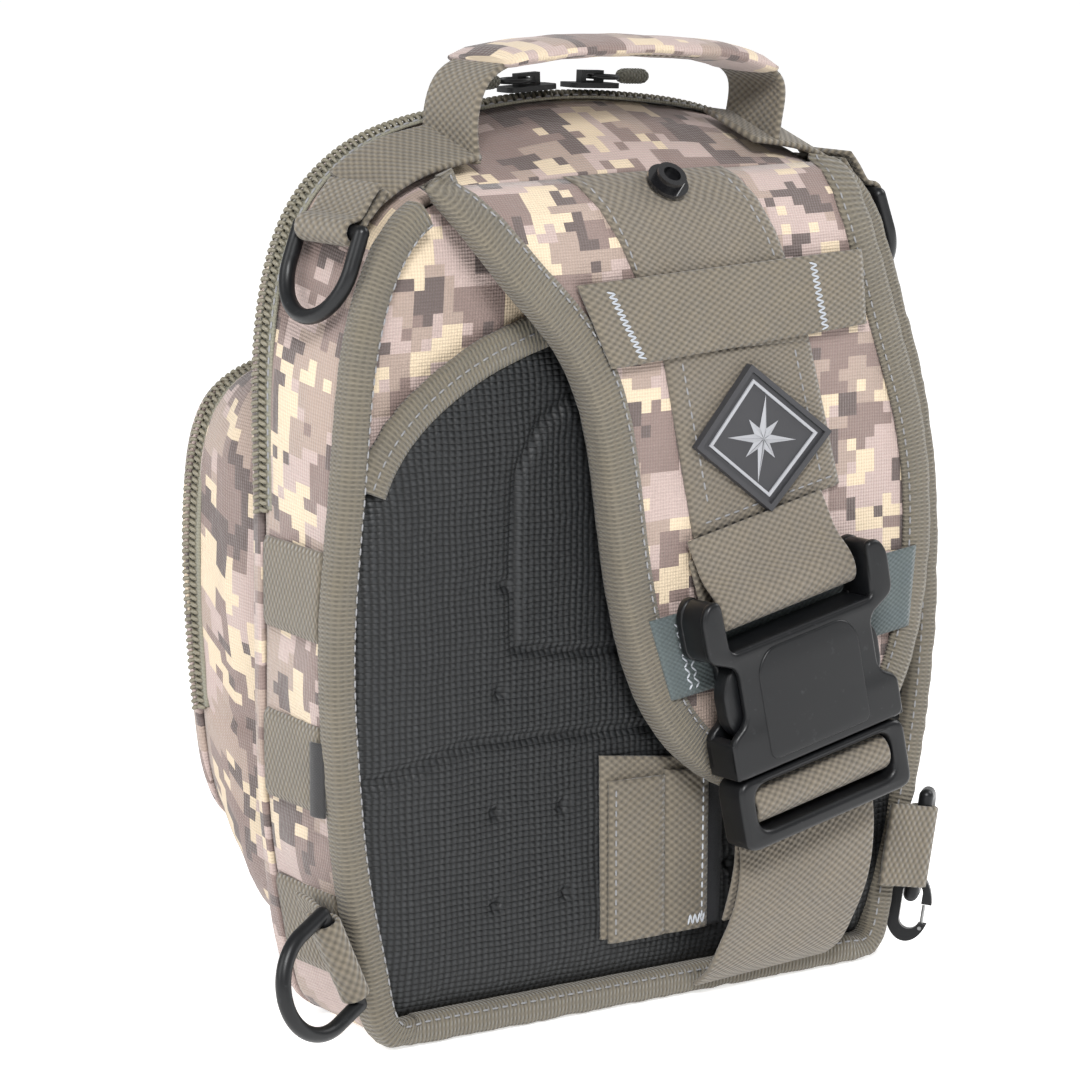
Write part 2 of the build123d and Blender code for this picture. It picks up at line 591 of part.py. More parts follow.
def build():
    nodes = {}
    nodes["main_gusset"] = main_gusset()
    front = main_front()
    nodes["main_front_panel"] = front & below(Z_FLAP - GAP)
    nodes["main_flap"] = front & above(Z_FLAP)
    nodes["back_panel"] = back_panel()
    nodes["back_foam_pad"] = back_foam()
    nodes["back_mesh_cover"] = back_mesh()
    nodes["back_panel_binding"] = back_binding()
    nodes["pad_arch_binding"] = arch_binding()
    nodes["inner_organizer"] = inner_organizer()
    nodes["base_board"] = base_board()

    nodes["main_zip_rear"] = main_zip(-1)
    front_zip = main_zip(1)
    nodes["main_zip_lower"] = front_zip & below(Z_FLAP - GAP)
    nodes["main_zip_flap"] = front_zip & above(Z_FLAP)

    nodes["pocket_gusset"] = pocket_gusset()
    face = pocket_face()
    nodes["pocket_lower_panel"] = face & below(Z_LID - GAP)
    nodes["pocket_lid"] = face & above(Z_LID)
    nodes["pocket_zip_rear"] = pocket_zip(-1)
    nodes["pocket_zip_lid"] = pocket_zip(1)
    nodes["pocket_webbing"] = pocket_webbing()
    nodes["pocket_slider"] = slider(0, Y_POCKET_ZIP, POCKET_SLIDER_Z, 0)
    loop, grip = pull_loop(0, Y_POCKET_ZIP, POCKET_SLIDER_Z, 0, 1)
    nodes["pocket_pull_loop"] = loop
    nodes["pocket_pull_grip"] = grip

    for name, x, side in (("left", -9.0, -1), ("right", 13.4, 1)):
        spot = (x, Y_ZIP, arch_z(x) + 1.9, arch_tilt(x))
        nodes[f"main_slider_{name}"] = slider(*spot)
        loop, grip = pull_loop(*spot, side)
        nodes[f"main_pull_loop_{name}"] = loop
        nodes[f"main_pull_grip_{name}"] = grip

    for name, side in (("left", -1), ("right", 1)):
        rows = [skin_patch(low, low + WEB_25, side) for low in (19.0, 67.0, 115.5)]
        nodes[f"side_webbing_{name}"] = Compound(rows)
    place = top_ring_frame()
    across = Pos(TOP_RIGHT_SHIFT, 0, 0)
    nodes["top_ring_left"] = place * Rot(0, TOP_SWING, 0) * d_ring()
    nodes["top_ring_right"] = across * mirrored(nodes["top_ring_left"])
    nodes["top_ring_tab_left"] = place * ring_loop(16)
    nodes["top_ring_tab_right"] = across * mirrored(nodes["top_ring_tab_left"])
    nodes["bottom_ring_left"] = bottom_left_frame() * Rot(0, BOTTOM_LEFT_SWING, 0) * d_ring()
    nodes["bottom_ring_tab_left"] = bottom_left_frame() * ring_loop(20, 1)
    nodes["bottom_ring_right"] = bottom_right_frame() * Rot(0, BOTTOM_RIGHT_SWING, 0) * d_ring()
    nodes["bottom_ring_tab_right"] = bottom_right_frame() * ring_loop(15, 1)
    hook = bottom_right_frame() * Rot(0, BOTTOM_RIGHT_SWING, 0) * hook_on_ring()
    nodes["snap_hook"] = hook * snap_hook()
    nodes["snap_hook_pin"] = hook * snap_pin()
    nodes["snap_hook_gate"] = hook * snap_gate()

    nodes["handle_webbing"] = handle_webbing()
    nodes["handle_sleeve"] = handle_sleeve()

    nodes["strap_pad"] = strap_pad()
    nodes["strap_binding"] = strap_binding()
    nodes["strap_webbing"] = strap_webbing()
    nodes["strap_cross_webbing"] = strap_cross_webbing()
    nodes["strap_patch"] = strap_patch()
    nodes["strap_snap_stud"] = snap_stud()
    nodes["strap_elastic_keeper"] = elastic_keeper()

    place = buckle_plane()
    nodes["buckle_female"] = place * buckle_female()
    nodes["buckle_male"] = place * buckle_male()
    nodes["buckle_prong_right"] = place * buckle_prong()
    nodes["buckle_prong_left"] = place * mirrored(buckle_prong())
    nodes["strap_end_loop"] = place * strap_end_loop()
    nodes["lower_strap"] = place * lower_strap()

    nodes["stow_tab"] = stow_tab(True)
    nodes["stow_tab_leaf"] = stow_tab(False)
    nodes["side_label"] = side_label()
    nodes["side_stays"] = Compound([side_stay(-1), side_stay(1)])
    return nodes


os.makedirs("parts", exist_ok=True)
for node_name, shape in build().items():
    solids = shape.solids()
    whole = solids[0] if len(solids) == 1 else Compound(solids)
    export_step(whole, f"parts/{node_name}.step")
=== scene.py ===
"""Look of the sling bag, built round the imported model. Lengths are in millimetres until a mesh is made."""

from math import atan2, cos, pi, radians, sin

import bpy
import bmesh
import numpy as np
from mathutils import Matrix, Vector, noise


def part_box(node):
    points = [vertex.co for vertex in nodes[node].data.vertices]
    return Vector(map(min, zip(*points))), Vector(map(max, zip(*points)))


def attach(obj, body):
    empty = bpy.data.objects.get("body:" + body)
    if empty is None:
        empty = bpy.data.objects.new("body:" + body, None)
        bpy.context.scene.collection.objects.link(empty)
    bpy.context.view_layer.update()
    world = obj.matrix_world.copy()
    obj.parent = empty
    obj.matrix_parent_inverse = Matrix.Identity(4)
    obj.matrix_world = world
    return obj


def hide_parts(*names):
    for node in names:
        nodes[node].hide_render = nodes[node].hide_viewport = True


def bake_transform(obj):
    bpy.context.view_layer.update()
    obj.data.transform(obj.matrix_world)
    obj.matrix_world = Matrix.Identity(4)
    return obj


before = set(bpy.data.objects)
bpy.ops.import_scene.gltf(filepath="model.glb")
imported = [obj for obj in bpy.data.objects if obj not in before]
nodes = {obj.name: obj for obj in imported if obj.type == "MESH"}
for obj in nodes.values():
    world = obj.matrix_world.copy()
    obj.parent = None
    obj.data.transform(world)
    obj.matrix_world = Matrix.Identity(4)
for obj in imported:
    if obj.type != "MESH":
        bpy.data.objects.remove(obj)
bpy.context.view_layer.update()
MM = 0.001

# ------------------------------------------------------------------ the CAD model's dimensions
OUTLINE_BACK = [(82, 0), (90, 5), (95, 19), (101, 47), (104.5, 78), (106, 112), (101.5, 165), (94.5, 208),
                (80, 231), (45, 238.5), (0, 239.5)]
OUTLINE_ZIP = [(78, 0), (88, 6), (93, 22), (98, 50), (100, 110), (100, 165), (97.5, 206), (87, 232),
               (70, 246), (36, 254.4), (0, 257)]
OUTLINE_FRONT = [(72, 5), (86, 16), (92, 50), (94, 110), (94, 165), (91.5, 203), (81, 228), (65, 242),
                 (34, 249), (0, 251)]
OUTLINE_PAD = [(84, 11), (93, 25), (97, 60), (98.5, 100), (96, 139), (87.5, 163), (69, 180.5),
               (38, 193.5), (0, 199)]
OUTLINE_POCKET_ROOT = [(64, 9), (78, 20), (85, 60), (86, 110), (85, 150), (79, 174),
                       (57, 185), (0, 187.5)]
OUTLINE_POCKET_MID = [(62, 15), (76, 25), (84, 60), (87, 112), (86, 150), (79, 173),
                      (57, 183.5), (0, 186)]
OUTLINE_POCKET_ZIP = [(60, 38), (75, 47), (83, 72), (86, 112), (85, 148), (77, 171),
                      (55, 180.5), (0, 182.5)]
OUTLINE_POCKET_FACE = [(54, 56), (66, 62), (73, 82), (76.5, 112), (77.5, 140), (76, 158), (69, 170),
                       (52, 176), (0, 178)]
STRAP_EDGE = [(-75, 241), (-70.5, 232), (-64, 222.5), (-57.5, 214), (-49, 205), (-39.5, 195),
              (-33, 185.5), (-28.5, 175), (-25.5, 163), (-22, 140), (-16.5, 112), (-5, 85), (14, 67),
              (38, 60), (64, 66), (82, 85), (91, 115), (92, 145), (88, 168),
              (80.5, 190), (73, 212), (69.5, 228), (71, 241)]
# The sling pad's two sides as (y, z).
STRAP_FRONT_LINE = [(-43, 50), (-43, 212), (-41.6, 222), (-37.5, 231), (-31, 237), (-24.2, 239.5)]
STRAP_BACK_LINE = [(-33, 50), (-33, 210), (-32, 219), (-29.3, 227), (-26.5, 231.5), (-24.2, 234.5)]
Y_BACK, Y_ZIP, Y_FRONT = -21.0, 17.0, 27.5
Y_POCKET_MID, Y_POCKET_ZIP, Y_POCKET = 55.0, 75.5, 88.0
Y_STRAP_FACE = -43.0
Z_FLAP, Z_LID, Z_ZIP_END = 190.0, 80.0, 147.0
WEB = 1.4
# Hinge lines of the flap and the lid, as (start, end) points.
MAIN_FOLD = ((0, 28, 185), (0, 28, 196))
LID_FOLD = ((0, 88, 76), (0, 88, 84.5))
# Directions.
RIGHT, TO_BACK, TO_FRONT, UP = (1, 0, 0), (0, -1, 0), (0, 1, 0), (0, 0, 1)


# ------------------------------------------------------------------ curves and outlines
def curve(points, count, closed=False):
    """Evenly spaced points along the smooth curve through the given ones."""
    p = np.array(points, float)
    size = len(p)
    if closed:
        p = np.vstack([p[-3:], p, p[:4]])
    t = np.concatenate([[0], np.cumsum(np.linalg.norm(np.diff(p, axis=0), axis=1))])
    h, n = np.diff(t), len(p)
    a, b = np.eye(n), np.zeros_like(p)
    for i in range(1, n - 1):
        a[i, i - 1:i + 2] = h[i - 1], 2 * (h[i - 1] + h[i]), h[i]
        b[i] = 6 * ((p[i + 1] - p[i]) / h[i] - (p[i] - p[i - 1]) / h[i - 1])
    m = np.linalg.solve(a, b)
    dense = []
    first, last = (3, 3 + size) if closed else (0, n - 1)
    for i in range(first, last):
        for s in np.linspace(0, 1, 30, endpoint=False):
            x0, x1 = (1 - s) * h[i], s * h[i]
            dense.append(
                m[i] * x0 ** 3 / (6 * h[i]) + m[i + 1] * x1 ** 3 / (6 * h[i])
                + (p[i] / h[i] - m[i] * h[i] / 6) * x0 + (p[i + 1] / h[i] - m[i + 1] * h[i] / 6) * x1
            )
    dense.append(p[last])
    return spaced(np.array(dense), count, closed)


def spaced(line, count, closed=False):
    """The same line with count evenly spaced points."""
    line = np.array(line, float)
    run = np.concatenate([[0], np.cumsum(np.linalg.norm(np.diff(line, axis=0), axis=1))])
    at = np.linspace(0, run[-1], count, endpoint=not closed)
    return np.stack([np.interp(at, run, line[:, k]) for k in range(line.shape[1])], 1)


def drawn_in(x, z):
    """The right side of the bag is narrower low down and at the shoulder."""
    pull = np.interp(z, [-50, 0, 30, 90, 165, 208, 231, 400], [4.5, 4.5, 5, 0, 0, 7, 4.5, 3])
    return x - pull * min(1, x / 60)


def loop(keys, over=220, base=36):
    """Closed outline: over the sides and top from the right base corner, then back along the base."""
    right = [(drawn_in(x, z), z) for x, z in keys]
    left = [(-x, z) for x, z in reversed(keys[:-1])]
    top = curve(right + left, over)
    flat = np.linspace(top[-1], top[0], base + 2)[1:-1]
    return np.vstack([top, flat])


def arch(keys, low, count):
    """The part of an outline above a height, from right to left."""
    line = loop(keys, 900, 2)[:900]
    return spaced(line[line[:, 1] >= low], count)


def outward(line, closed=True):
    """Unit normals of a line in the XZ plane that runs from right over the top to the left."""
    if closed:
        d = np.roll(line, -1, 0) - np.roll(line, 1, 0)
    else:
        d = np.gradient(line, axis=0)
    n = np.stack([d[:, 1], -d[:, 0]], 1)
    return n / np.maximum(np.linalg.norm(n, axis=1), 1e-9)[:, None]


def lengths(line):
    return np.concatenate([[0], np.cumsum(np.linalg.norm(np.diff(line, axis=0), axis=1))])


def at_y(line, y):
    """XZ points placed at a depth."""
    y = np.broadcast_to(y, len(line))
    return np.stack([line[:, 0], y, line[:, 1]], 1)


def rumple(points, size, seed=0.0):
    """Smooth noise from -1 to 1 at each point."""
    return np.array([noise.noise(Vector(p) / size + Vector((seed, seed * 0.7, -seed))) for p in points])


def smooth_step(x, low, high):
    t = np.clip((x - low) / (high - low), 0, 1)
    return t * t * (3 - 2 * t)


# ------------------------------------------------------------------ meshes
def mesh_object(name, verts, faces, corner_uv=None, material=None, smooth=True):
    data = bpy.data.meshes.new(name)
    data.from_pydata([tuple(v) for v in np.array(verts, float) * MM], [], [tuple(f) for f in faces])
    if corner_uv is not None:
        layer = data.uv_layers.new(name="UVMap")
        layer.data.foreach_set("uv", np.array(corner_uv, np.float32).reshape(-1))
    data.polygons.foreach_set("use_smooth", [smooth] * len(data.polygons))
    obj = bpy.data.objects.new(name, data)
    bpy.context.scene.collection.objects.link(obj)
    if material:
        data.materials.append(material)
    return obj


def outside_out(obj):
    """Turns all faces outwards."""
    work = bmesh.new()
    work.from_mesh(obj.data)
    bmesh.ops.recalc_face_normals(work, faces=work.faces)
    work.to_mesh(obj.data)
    work.free()
    return obj


def skin(name, rows, uv, material, around=True, lengthwise=False, caps=(False, False)):
    """Quads between rows of points. uv has one more row or column than rows where that way is closed."""
    rows, uv = np.array(rows, float), np.array(uv, float)
    r_count, c_count = rows.shape[:2]
    verts = list(rows.reshape(-1, 3))
    faces, corner = [], []
    for r in range(r_count if lengthwise else r_count - 1):
        for c in range(c_count if around else c_count - 1):
            r1, c1 = (r + 1) % r_count, (c + 1) % c_count
            faces.append((r * c_count + c, r * c_count + c1, r1 * c_count + c1, r1 * c_count + c))
            corner += [uv[r, c], uv[r, c + 1], uv[r + 1, c + 1], uv[r + 1, c]]
    for end, row in ((0, 0), (1, r_count - 1)):
        if caps[end]:
            verts.append(rows[row].mean(0))
            middle, mid_uv = len(verts) - 1, uv[row, :c_count].mean(0)
            for c in range(c_count if around else c_count - 1):
                c1 = (c + 1) % c_count
                faces.append((row * c_count + c, row * c_count + c1, middle))
                corner += [uv[row, c], uv[row, c + 1], mid_uv]
    return outside_out(mesh_object(name, verts, faces, corner, material))


def tube(name, path, across, section, material, wide_uv=None, closed=False, caps=True):
    """Sweeps a closed section, as (across, up) pairs, along a path; across is each point's side direction."""
    path, across, section = np.array(path, float), np.array(across, float), np.array(section, float)
    across = across / np.linalg.norm(across, axis=1)[:, None]
    if closed:
        along = np.roll(path, -1, 0) - np.roll(path, 1, 0)
    else:
        along = np.gradient(path, axis=0)
    along /= np.linalg.norm(along, axis=1)[:, None]
    up = np.cross(along, across)
    rows = [p + section[:, :1] * a + section[:, 1:2] * u for p, a, u in zip(path, across, up)]
    step = lengths(np.vstack([path, path[:1]]) if closed else path)
    around = lengths(np.vstack([section, section[:1]])) if wide_uv is None else np.append(wide_uv, wide_uv[0])
    uv = [[(w, s) for w in around] for s in step]
    return skin(name, rows, uv, material, True, closed, (caps and not closed,) * 2)


def strap_section(width, thick, edge=0.9):
    """Section of webbing with rounded selvedges, and its across-the-width coordinate."""
    w, t = width / 2, thick / 2
    xs = np.linspace(-w + edge, w - edge, 9)
    near, shoulder = w - edge * 0.3, t * 0.8
    top = [(-w, 0.0), (-w + edge * 0.3, shoulder)] + [(x, t) for x in xs] + [(near, shoulder)]
    low = [(w, 0.0), (near, -shoulder)] + [(x, -t) for x in xs[::-1]] + [(-w + edge * 0.3, -shoulder)]
    points = np.array(top + low)
    return points, points[:, 0]


def webbing(name, path, across, width, material, thick=WEB, count=None, straight=False):
    """Webbing along a path, which is smoothed first unless it is straight."""
    path = np.array(path, float)
    count = count or max(8, int(lengths(path)[-1] / 2.0))
    line = spaced(path, count) if straight else curve(path, count)
    sides = np.broadcast_to(np.array(across, float), (count, 3)) if np.ndim(across) == 1 else across
    section, wide = strap_section(width, thick)
    return tube(name, line, sides, section, material, wide)


def patch(name, corners, surface, material, thick=WEB, step=1.5, lift=0.0):
    """Flat piece with four corners in XZ that follows a surface y(x, z), its outside towards -Y."""
    a, b, c, d = [np.array(p, float) for p in corners]
    nu = max(6, int(np.linalg.norm(b - a) / step))
    nv = max(6, int(np.linalg.norm(d - a) / step))
    wide, tall = np.linalg.norm(b - a), np.linalg.norm(d - a)
    front, back, uv = [], [], []
    for j in np.linspace(0, 1, nv):
        left, right = a + (d - a) * j, b + (c - b) * j
        line = [left + (right - left) * i for i in np.linspace(0, 1, nu)]
        ease = [min(1.0, 4 * min(i, 1 - i) * nu / 6) for i in np.linspace(0, 1, nu)]
        front.append([
            (x, surface(x, z) - lift - thick * (0.55 + 0.45 * e), z) for (x, z), e in zip(line, ease)
        ])
        back.append([(x, surface(x, z) - lift, z) for x, z in line])
        uv.append([(i * wide, j * tall) for i in np.linspace(0, 1, nu)])
    front, back, uv = np.array(front), np.array(back), np.array(uv)
    rows = np.concatenate([front, back[:, ::-1]], 1)
    uv = np.concatenate([uv, uv[:, ::-1], uv[:, :1]], 1)
    return skin(name, rows, uv, material, True, False, (True, True))


class Thread:
    """Collects stitches, and makes one mesh of them for each body."""

    def __init__(self):
        self.lots = {}

    def stitch(self, key, a, b, up, wide=0.55, high=0.4):
        a, b, up = np.array(a, float), np.array(b, float), np.array(up, float)
        along = b - a
        side = np.cross(along, up)
        side = side / max(np.linalg.norm(side), 1e-9) * wide / 2
        up = up / np.linalg.norm(up) * high
        middle = (a + b) / 2
        q = along * 0.28
        verts = [a, b, middle - q + side, middle + q + side, middle + q - side, middle - q - side,
                 middle - q + up, middle + q + up]
        faces = [(0, 2, 6), (2, 3, 7, 6), (3, 1, 7), (1, 4, 7), (4, 5, 6, 7), (5, 0, 6)]
        self.lots.setdefault(key, []).append((verts, faces))

    def row(self, key, line, up, length=2.3, gap=1.0, **more):
        """A running stitch along a line of 3-D points."""
        line = np.array(line, float)
        total = lengths(line)[-1]
        count = max(1, int(total / (length + gap)))
        points = spaced(line, count + 1)
        one_way = np.ndim(up) == 1
        ups = np.broadcast_to(np.array(up, float), (count + 1, 3)) if one_way else spaced(up, count + 1)
        for i in range(count):
            a, b = points[i], points[i + 1]
            self.stitch(key, a, a + (b - a) * length / (length + gap), ups[i], **more)

    def zigzag(self, key, start, end, side, up, width=2.6, pitch=1.0):
        """A bartack between two points."""
        start, end, side = (np.array(v, float) for v in (start, end, side))
        side = side / np.linalg.norm(side) * width / 2
        count = max(4, int(np.linalg.norm(end - start) / pitch))
        for i in range(count):
            a = start + (end - start) * i / count
            b = start + (end - start) * (i + 1) / count
            sign = 1 if i % 2 else -1
            self.stitch(key, a + side * sign, b - side * sign, up)

    def finish(self, materials):
        for (body, kind), lot in self.lots.items():
            verts, faces = [], []
            for v, f in lot:
                base = len(verts)
                verts += list(v)
                faces += [tuple(base + k for k in face) for face in f]
            obj = mesh_object(f"stitching_{kind}_{body}", verts, faces, None, materials[kind])
            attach(obj, body)


thread = Thread()


# ------------------------------------------------------------------ materials
def rgb(r, g, b):
    """Linear colour from 0-255 display values."""
    c = [v / 255 for v in (r, g, b)]
    return [v / 12.92 if v <= 0.04045 else ((v + 0.055) / 1.055) ** 2.4 for v in c] + [1.0]


def from_level(level):
    """Ramp stops that are black below a level and white above it."""
    return [(0, (0, 0, 0, 1)), (level, (1, 1, 1, 1))]


def toned(tone, factor):
    return [c * factor for c in tone[:3]] + [1]


class Nodes:
    """Short calls that build a node tree for one Principled material."""

    def __init__(self, name, roughness=0.8, **sockets):
        self.material = bpy.data.materials.new(name)
        self.material.use_nodes = True
        self.tree = self.material.node_tree
        self.shader = self.tree.nodes["Principled BSDF"]
        self.shader.inputs["Roughness"].default_value = roughness
        for key, value in sockets.items():
            self.shader.inputs[key.replace("_", " ")].default_value = value

    def put(self, socket, value):
        if isinstance(value, bpy.types.NodeSocket):
            self.tree.links.new(value, socket)
        else:
            socket.default_value = value

    def node(self, kind, *values, out=0, **settings):
        n = self.tree.nodes.new(kind)
        for key, value in settings.items():
            setattr(n, key, value)
        for socket, value in zip(n.inputs, values):
            if value is not None:
                self.put(socket, value)
        return n.outputs[out]

    def math(self, operation, *values):
        return self.node("ShaderNodeMath", *values, operation=operation)

    def vec(self, operation, *values):
        return self.node("ShaderNodeVectorMath", *values, operation=operation)

    def uv(self):
        return self.node("ShaderNodeTexCoord", out=2)

    def place(self):
        return self.node("ShaderNodeTexCoord", out=3)

    def split(self, vector):
        n = self.tree.nodes.new("ShaderNodeSeparateXYZ")
        self.put(n.inputs[0], vector)
        return n.outputs[0], n.outputs[1], n.outputs[2]

    def join(self, x, y, z=0.0):
        return self.node("ShaderNodeCombineXYZ", x, y, z)

    def noise(self, vector, scale, detail=2.0, rough=0.5, color=False):
        n = self.tree.nodes.new("ShaderNodeTexNoise")
        for key, value in (("Vector", vector), ("Scale", scale), ("Detail", detail), ("Roughness", rough)):
            self.put(n.inputs[key], value)
        return n.outputs[1 if color else 0]

    def ramp(self, fac, stops, interpolation="LINEAR"):
        n = self.tree.nodes.new("ShaderNodeValToRGB")
        n.color_ramp.interpolation = interpolation
        while len(n.color_ramp.elements) < len(stops):
            n.color_ramp.elements.new(0.5)
        for element, (place, color) in zip(n.color_ramp.elements, stops):
            element.position = place
            element.color = color
        self.put(n.inputs[0], fac)
        return n.outputs[0]

    def mix(self, fac, a, b, blend="MIX"):
        n = self.tree.nodes.new("ShaderNodeMix")
        n.data_type, n.blend_type = "RGBA", blend
        for socket, value in ((n.inputs[0], fac), (n.inputs[6], a), (n.inputs[7], b)):
            self.put(socket, value)
        return n.outputs[2]

    def bump(self, height, strength=0.5, distance=0.0005, under=None):
        n = self.tree.nodes.new("ShaderNodeBump")
        for key, value in (("Height", height), ("Strength", strength), ("Distance", distance)):
            self.put(n.inputs[key], value)
        if under is not None:
            self.put(n.inputs["Normal"], under)
        return n.outputs[0]

    def wave(self, value, pitch, shift=None):
        """Sine of a coordinate with this pitch, from -1 to 1."""
        turn = self.math("MULTIPLY", value, 2 * pi / pitch)
        if shift is not None:
            turn = self.math("ADD", turn, shift)
        return self.math("SINE", turn)

    def done(self, color=None, bump=None, roughness=None):
        for key, value in (("Base Color", color), ("Normal", bump), ("Roughness", roughness)):
            if value is not None:
                self.put(self.shader.inputs[key], value)
        return self.material


def plain_weave(g, u, v, pitch):
    """Over-and-under weave: -1 to 1."""
    return g.math("MULTIPLY", g.wave(u, pitch), g.wave(v, pitch))


def camo_material():
    """Desert digital print, in square steps, on woven polyester with a coated sheen."""
    g = Nodes("camo_fabric", 0.72, Sheen_Weight=0.25, Sheen_Roughness=0.45)
    uv = g.uv()
    step = 3.4
    grid = g.vec("FLOOR", g.vec("MULTIPLY", uv, (1 / step, 1 / step, 1 / step)))
    x, y, _ = g.split(grid)

    def blotch(seed, size, wide=1.25):
        """Noise a little wider than tall, its edges frayed by a finer one."""
        place = g.join(g.math("MULTIPLY", x, 1 / wide), y, seed)
        big = g.noise(place, 1 / size, 1.0, 0.4)
        small = g.noise(place, 2.6 / size, 0.0)
        return g.math("ADD", g.math("MULTIPLY", big, 0.72), g.math("MULTIPLY", small, 0.28))

    cream, mauve, tan = rgb(206, 188, 162), rgb(176, 157, 151), rgb(158, 140, 129)
    taupe, dark = rgb(128, 110, 104), rgb(94, 82, 79)
    color = g.mix(g.ramp(blotch(3.1, 5.5), from_level(0.44), "CONSTANT"), cream, mauve)
    layers = ((11.7, 6.5, 0.525, tan), (23.4, 6.0, 0.535, taupe), (37.9, 4.6, 0.585, dark),
              (51.3, 4.2, 0.60, cream))
    for seed, size, level, tone in layers:
        color = g.mix(g.ramp(blotch(seed, size), from_level(level), "CONSTANT"), color, tone)
    u, v, _ = g.split(uv)
    weave = plain_weave(g, g.math("ADD", u, v), g.math("SUBTRACT", u, v), 1.9)
    thread_tone = g.math("MULTIPLY_ADD", weave, 0.11, 0.94)
    worn = g.math("MULTIPLY_ADD", g.noise(uv, 0.035, 3.0), 0.16, 0.92)
    shade = g.math("MULTIPLY", thread_tone, worn)
    color = g.mix(1.0, color, g.join(shade, shade, shade), "MULTIPLY")
    soft = g.noise(uv, 0.09, 3.0, 0.6)
    height = g.math("ADD", g.math("MULTIPLY", weave, 0.16), g.math("MULTIPLY", soft, 2.0))
    return g.done(color, g.bump(height, 0.75, 0.001))


def webbing_material(name, tone, across=1.25, along=1.7, depth=0.16, contrast=0.2, ribs=False):
    """Woven tape: a brick of small yarns, or fine ribs across it. UV is (across, along) in millimetres."""
    g = Nodes(name, 0.85, Sheen_Weight=0.2, Sheen_Roughness=0.5)
    uv = g.uv()
    u, v, _ = g.split(uv)
    drift = g.math("MULTIPLY", g.noise(uv, 0.25, 2.0), 0.5)
    u2, v2 = g.math("ADD", u, drift), g.math("ADD", v, drift)
    if ribs:
        yarn = g.math("MULTIPLY", g.wave(v2, along), g.math("MULTIPLY_ADD", g.wave(u2, across), 0.3, 0.7))
    else:
        column = g.math("MULTIPLY", g.math("FLOOR", g.math("DIVIDE", u2, across)), pi)
        round_ = g.math("ABSOLUTE", g.math("SINE", g.math("MULTIPLY", u2, pi / across)))
        yarn = g.math("MULTIPLY", g.wave(v2, along, column), round_)
    fine = g.noise(g.vec("MULTIPLY", uv, (4.0, 1.2, 1.0)), 0.8, 2.0)
    shade = g.math("ADD", g.math("MULTIPLY_ADD", yarn, contrast, 0.9), g.math("MULTIPLY", fine, 0.2))
    age = g.math("MULTIPLY_ADD", g.noise(uv, 0.06, 3.0), 0.24, 0.88)
    shade = g.math("MULTIPLY", shade, age)
    tint = g.mix(g.noise(uv, 0.12, 2.0), tone, [tone[0] * 1.08, tone[1] * 1.02, tone[2] * 0.9, 1])
    color = g.mix(1.0, tint, g.join(shade, shade, shade), "MULTIPLY")
    height = g.math("ADD", g.math("MULTIPLY", yarn, depth), g.math("MULTIPLY", g.noise(uv, 0.1, 2.0), 0.5))
    return g.done(color, g.bump(height, 0.9, 0.001))


def mesh_material():
    """Black air mesh: painted highlights along the thin uprights, dark cross lines and a faint pattern of pores.
    """
    g = Nodes("air_mesh", 0.5, Specular_IOR_Level=0.35)
    uv = g.uv()
    u, v, _ = g.split(uv)
    bend = g.math("MULTIPLY", g.noise(uv, 0.05, 2.0), 2.2)
    u2 = g.math("ADD", u, bend)
    v2 = g.math("ADD", v, g.math("MULTIPLY", g.noise(uv, 0.04, 2.0), 2.5))
    rise = g.math("POWER", g.math("ABSOLUTE", g.math("SINE", g.math("MULTIPLY", u2, pi / 2.1))), 3.0)
    cross = g.math("POWER", g.math("ABSOLUTE", g.math("SINE", g.math("MULTIPLY", v2, pi / 1.75))), 0.5)
    upright = g.math("SUBTRACT", 1.0, rise)
    patchy = g.math("MULTIPLY_ADD", g.noise(uv, 0.5, 2.0), 0.9, 0.2)
    # The lighter lines are a painted highlight along the uprights, broken by the dark cross lines and made
    # patchy by noise.
    painted_highlight = g.math("MULTIPLY", g.math("MULTIPLY", upright, cross), patchy)
    color = g.mix(painted_highlight, rgb(6, 7, 8), rgb(46, 48, 50))
    pores = g.math("MULTIPLY", g.wave(g.math("ADD", u, g.math("MULTIPLY", v, 0.5)), 2.6), g.wave(v, 2.6))
    height = g.math("ADD", g.math("MULTIPLY", cross, 0.35), g.math("MULTIPLY_ADD", upright, 0.22, 0.0))
    height = g.math("ADD", height, g.math("MULTIPLY", pores, 0.08))
    return g.done(color, g.bump(height, 0.8, 0.001), g.math("MULTIPLY_ADD", painted_highlight, -0.15, 0.6))


def plastic_material(name, tone, rough=0.36, grain=0.05):
    """Moulded acetal: fine spark texture, faint flow marks and duller patches from handling."""
    g = Nodes(name, rough, Specular_IOR_Level=0.32)
    at = g.place()
    fine = g.noise(at, 2600.0, 2.0)
    flow = g.noise(g.vec("MULTIPLY", at, (1.0, 1.0, 2.4)), 60.0, 3.0)
    color = g.mix(flow, toned(tone, 0.86), toned(tone, 1.2))
    scuff = g.ramp(g.noise(at, 320.0, 4.0, 0.65), [(0.62, (0, 0, 0, 1)), (0.78, (1, 1, 1, 1))])
    color = g.mix(g.math("MULTIPLY", scuff, 0.10), color, rgb(120, 122, 126))
    duller = g.math("MULTIPLY_ADD", flow, 0.16, rough - 0.08)
    roughness = g.math("ADD", duller, g.math("MULTIPLY", fine, grain))
    height = g.math("ADD", g.math("MULTIPLY", fine, 0.03), g.math("MULTIPLY", flow, 0.05))
    return g.done(color, g.bump(height, 0.5, 0.0008), roughness)


def simple_material(name, tone, rough, scale, spread=0.2, height=0.06, **sockets):
    """Even surface with cloudy tone and a fine bump."""
    g = Nodes(name, rough, **sockets)
    at = g.place()
    cloud = g.noise(at, scale, 4.0, 0.6)
    color = g.mix(cloud, toned(tone, 1 - spread), toned(tone, 1 + spread))
    return g.done(color, g.bump(g.math("MULTIPLY", g.noise(at, scale * 12, 3.0), height), 0.6, 0.001))


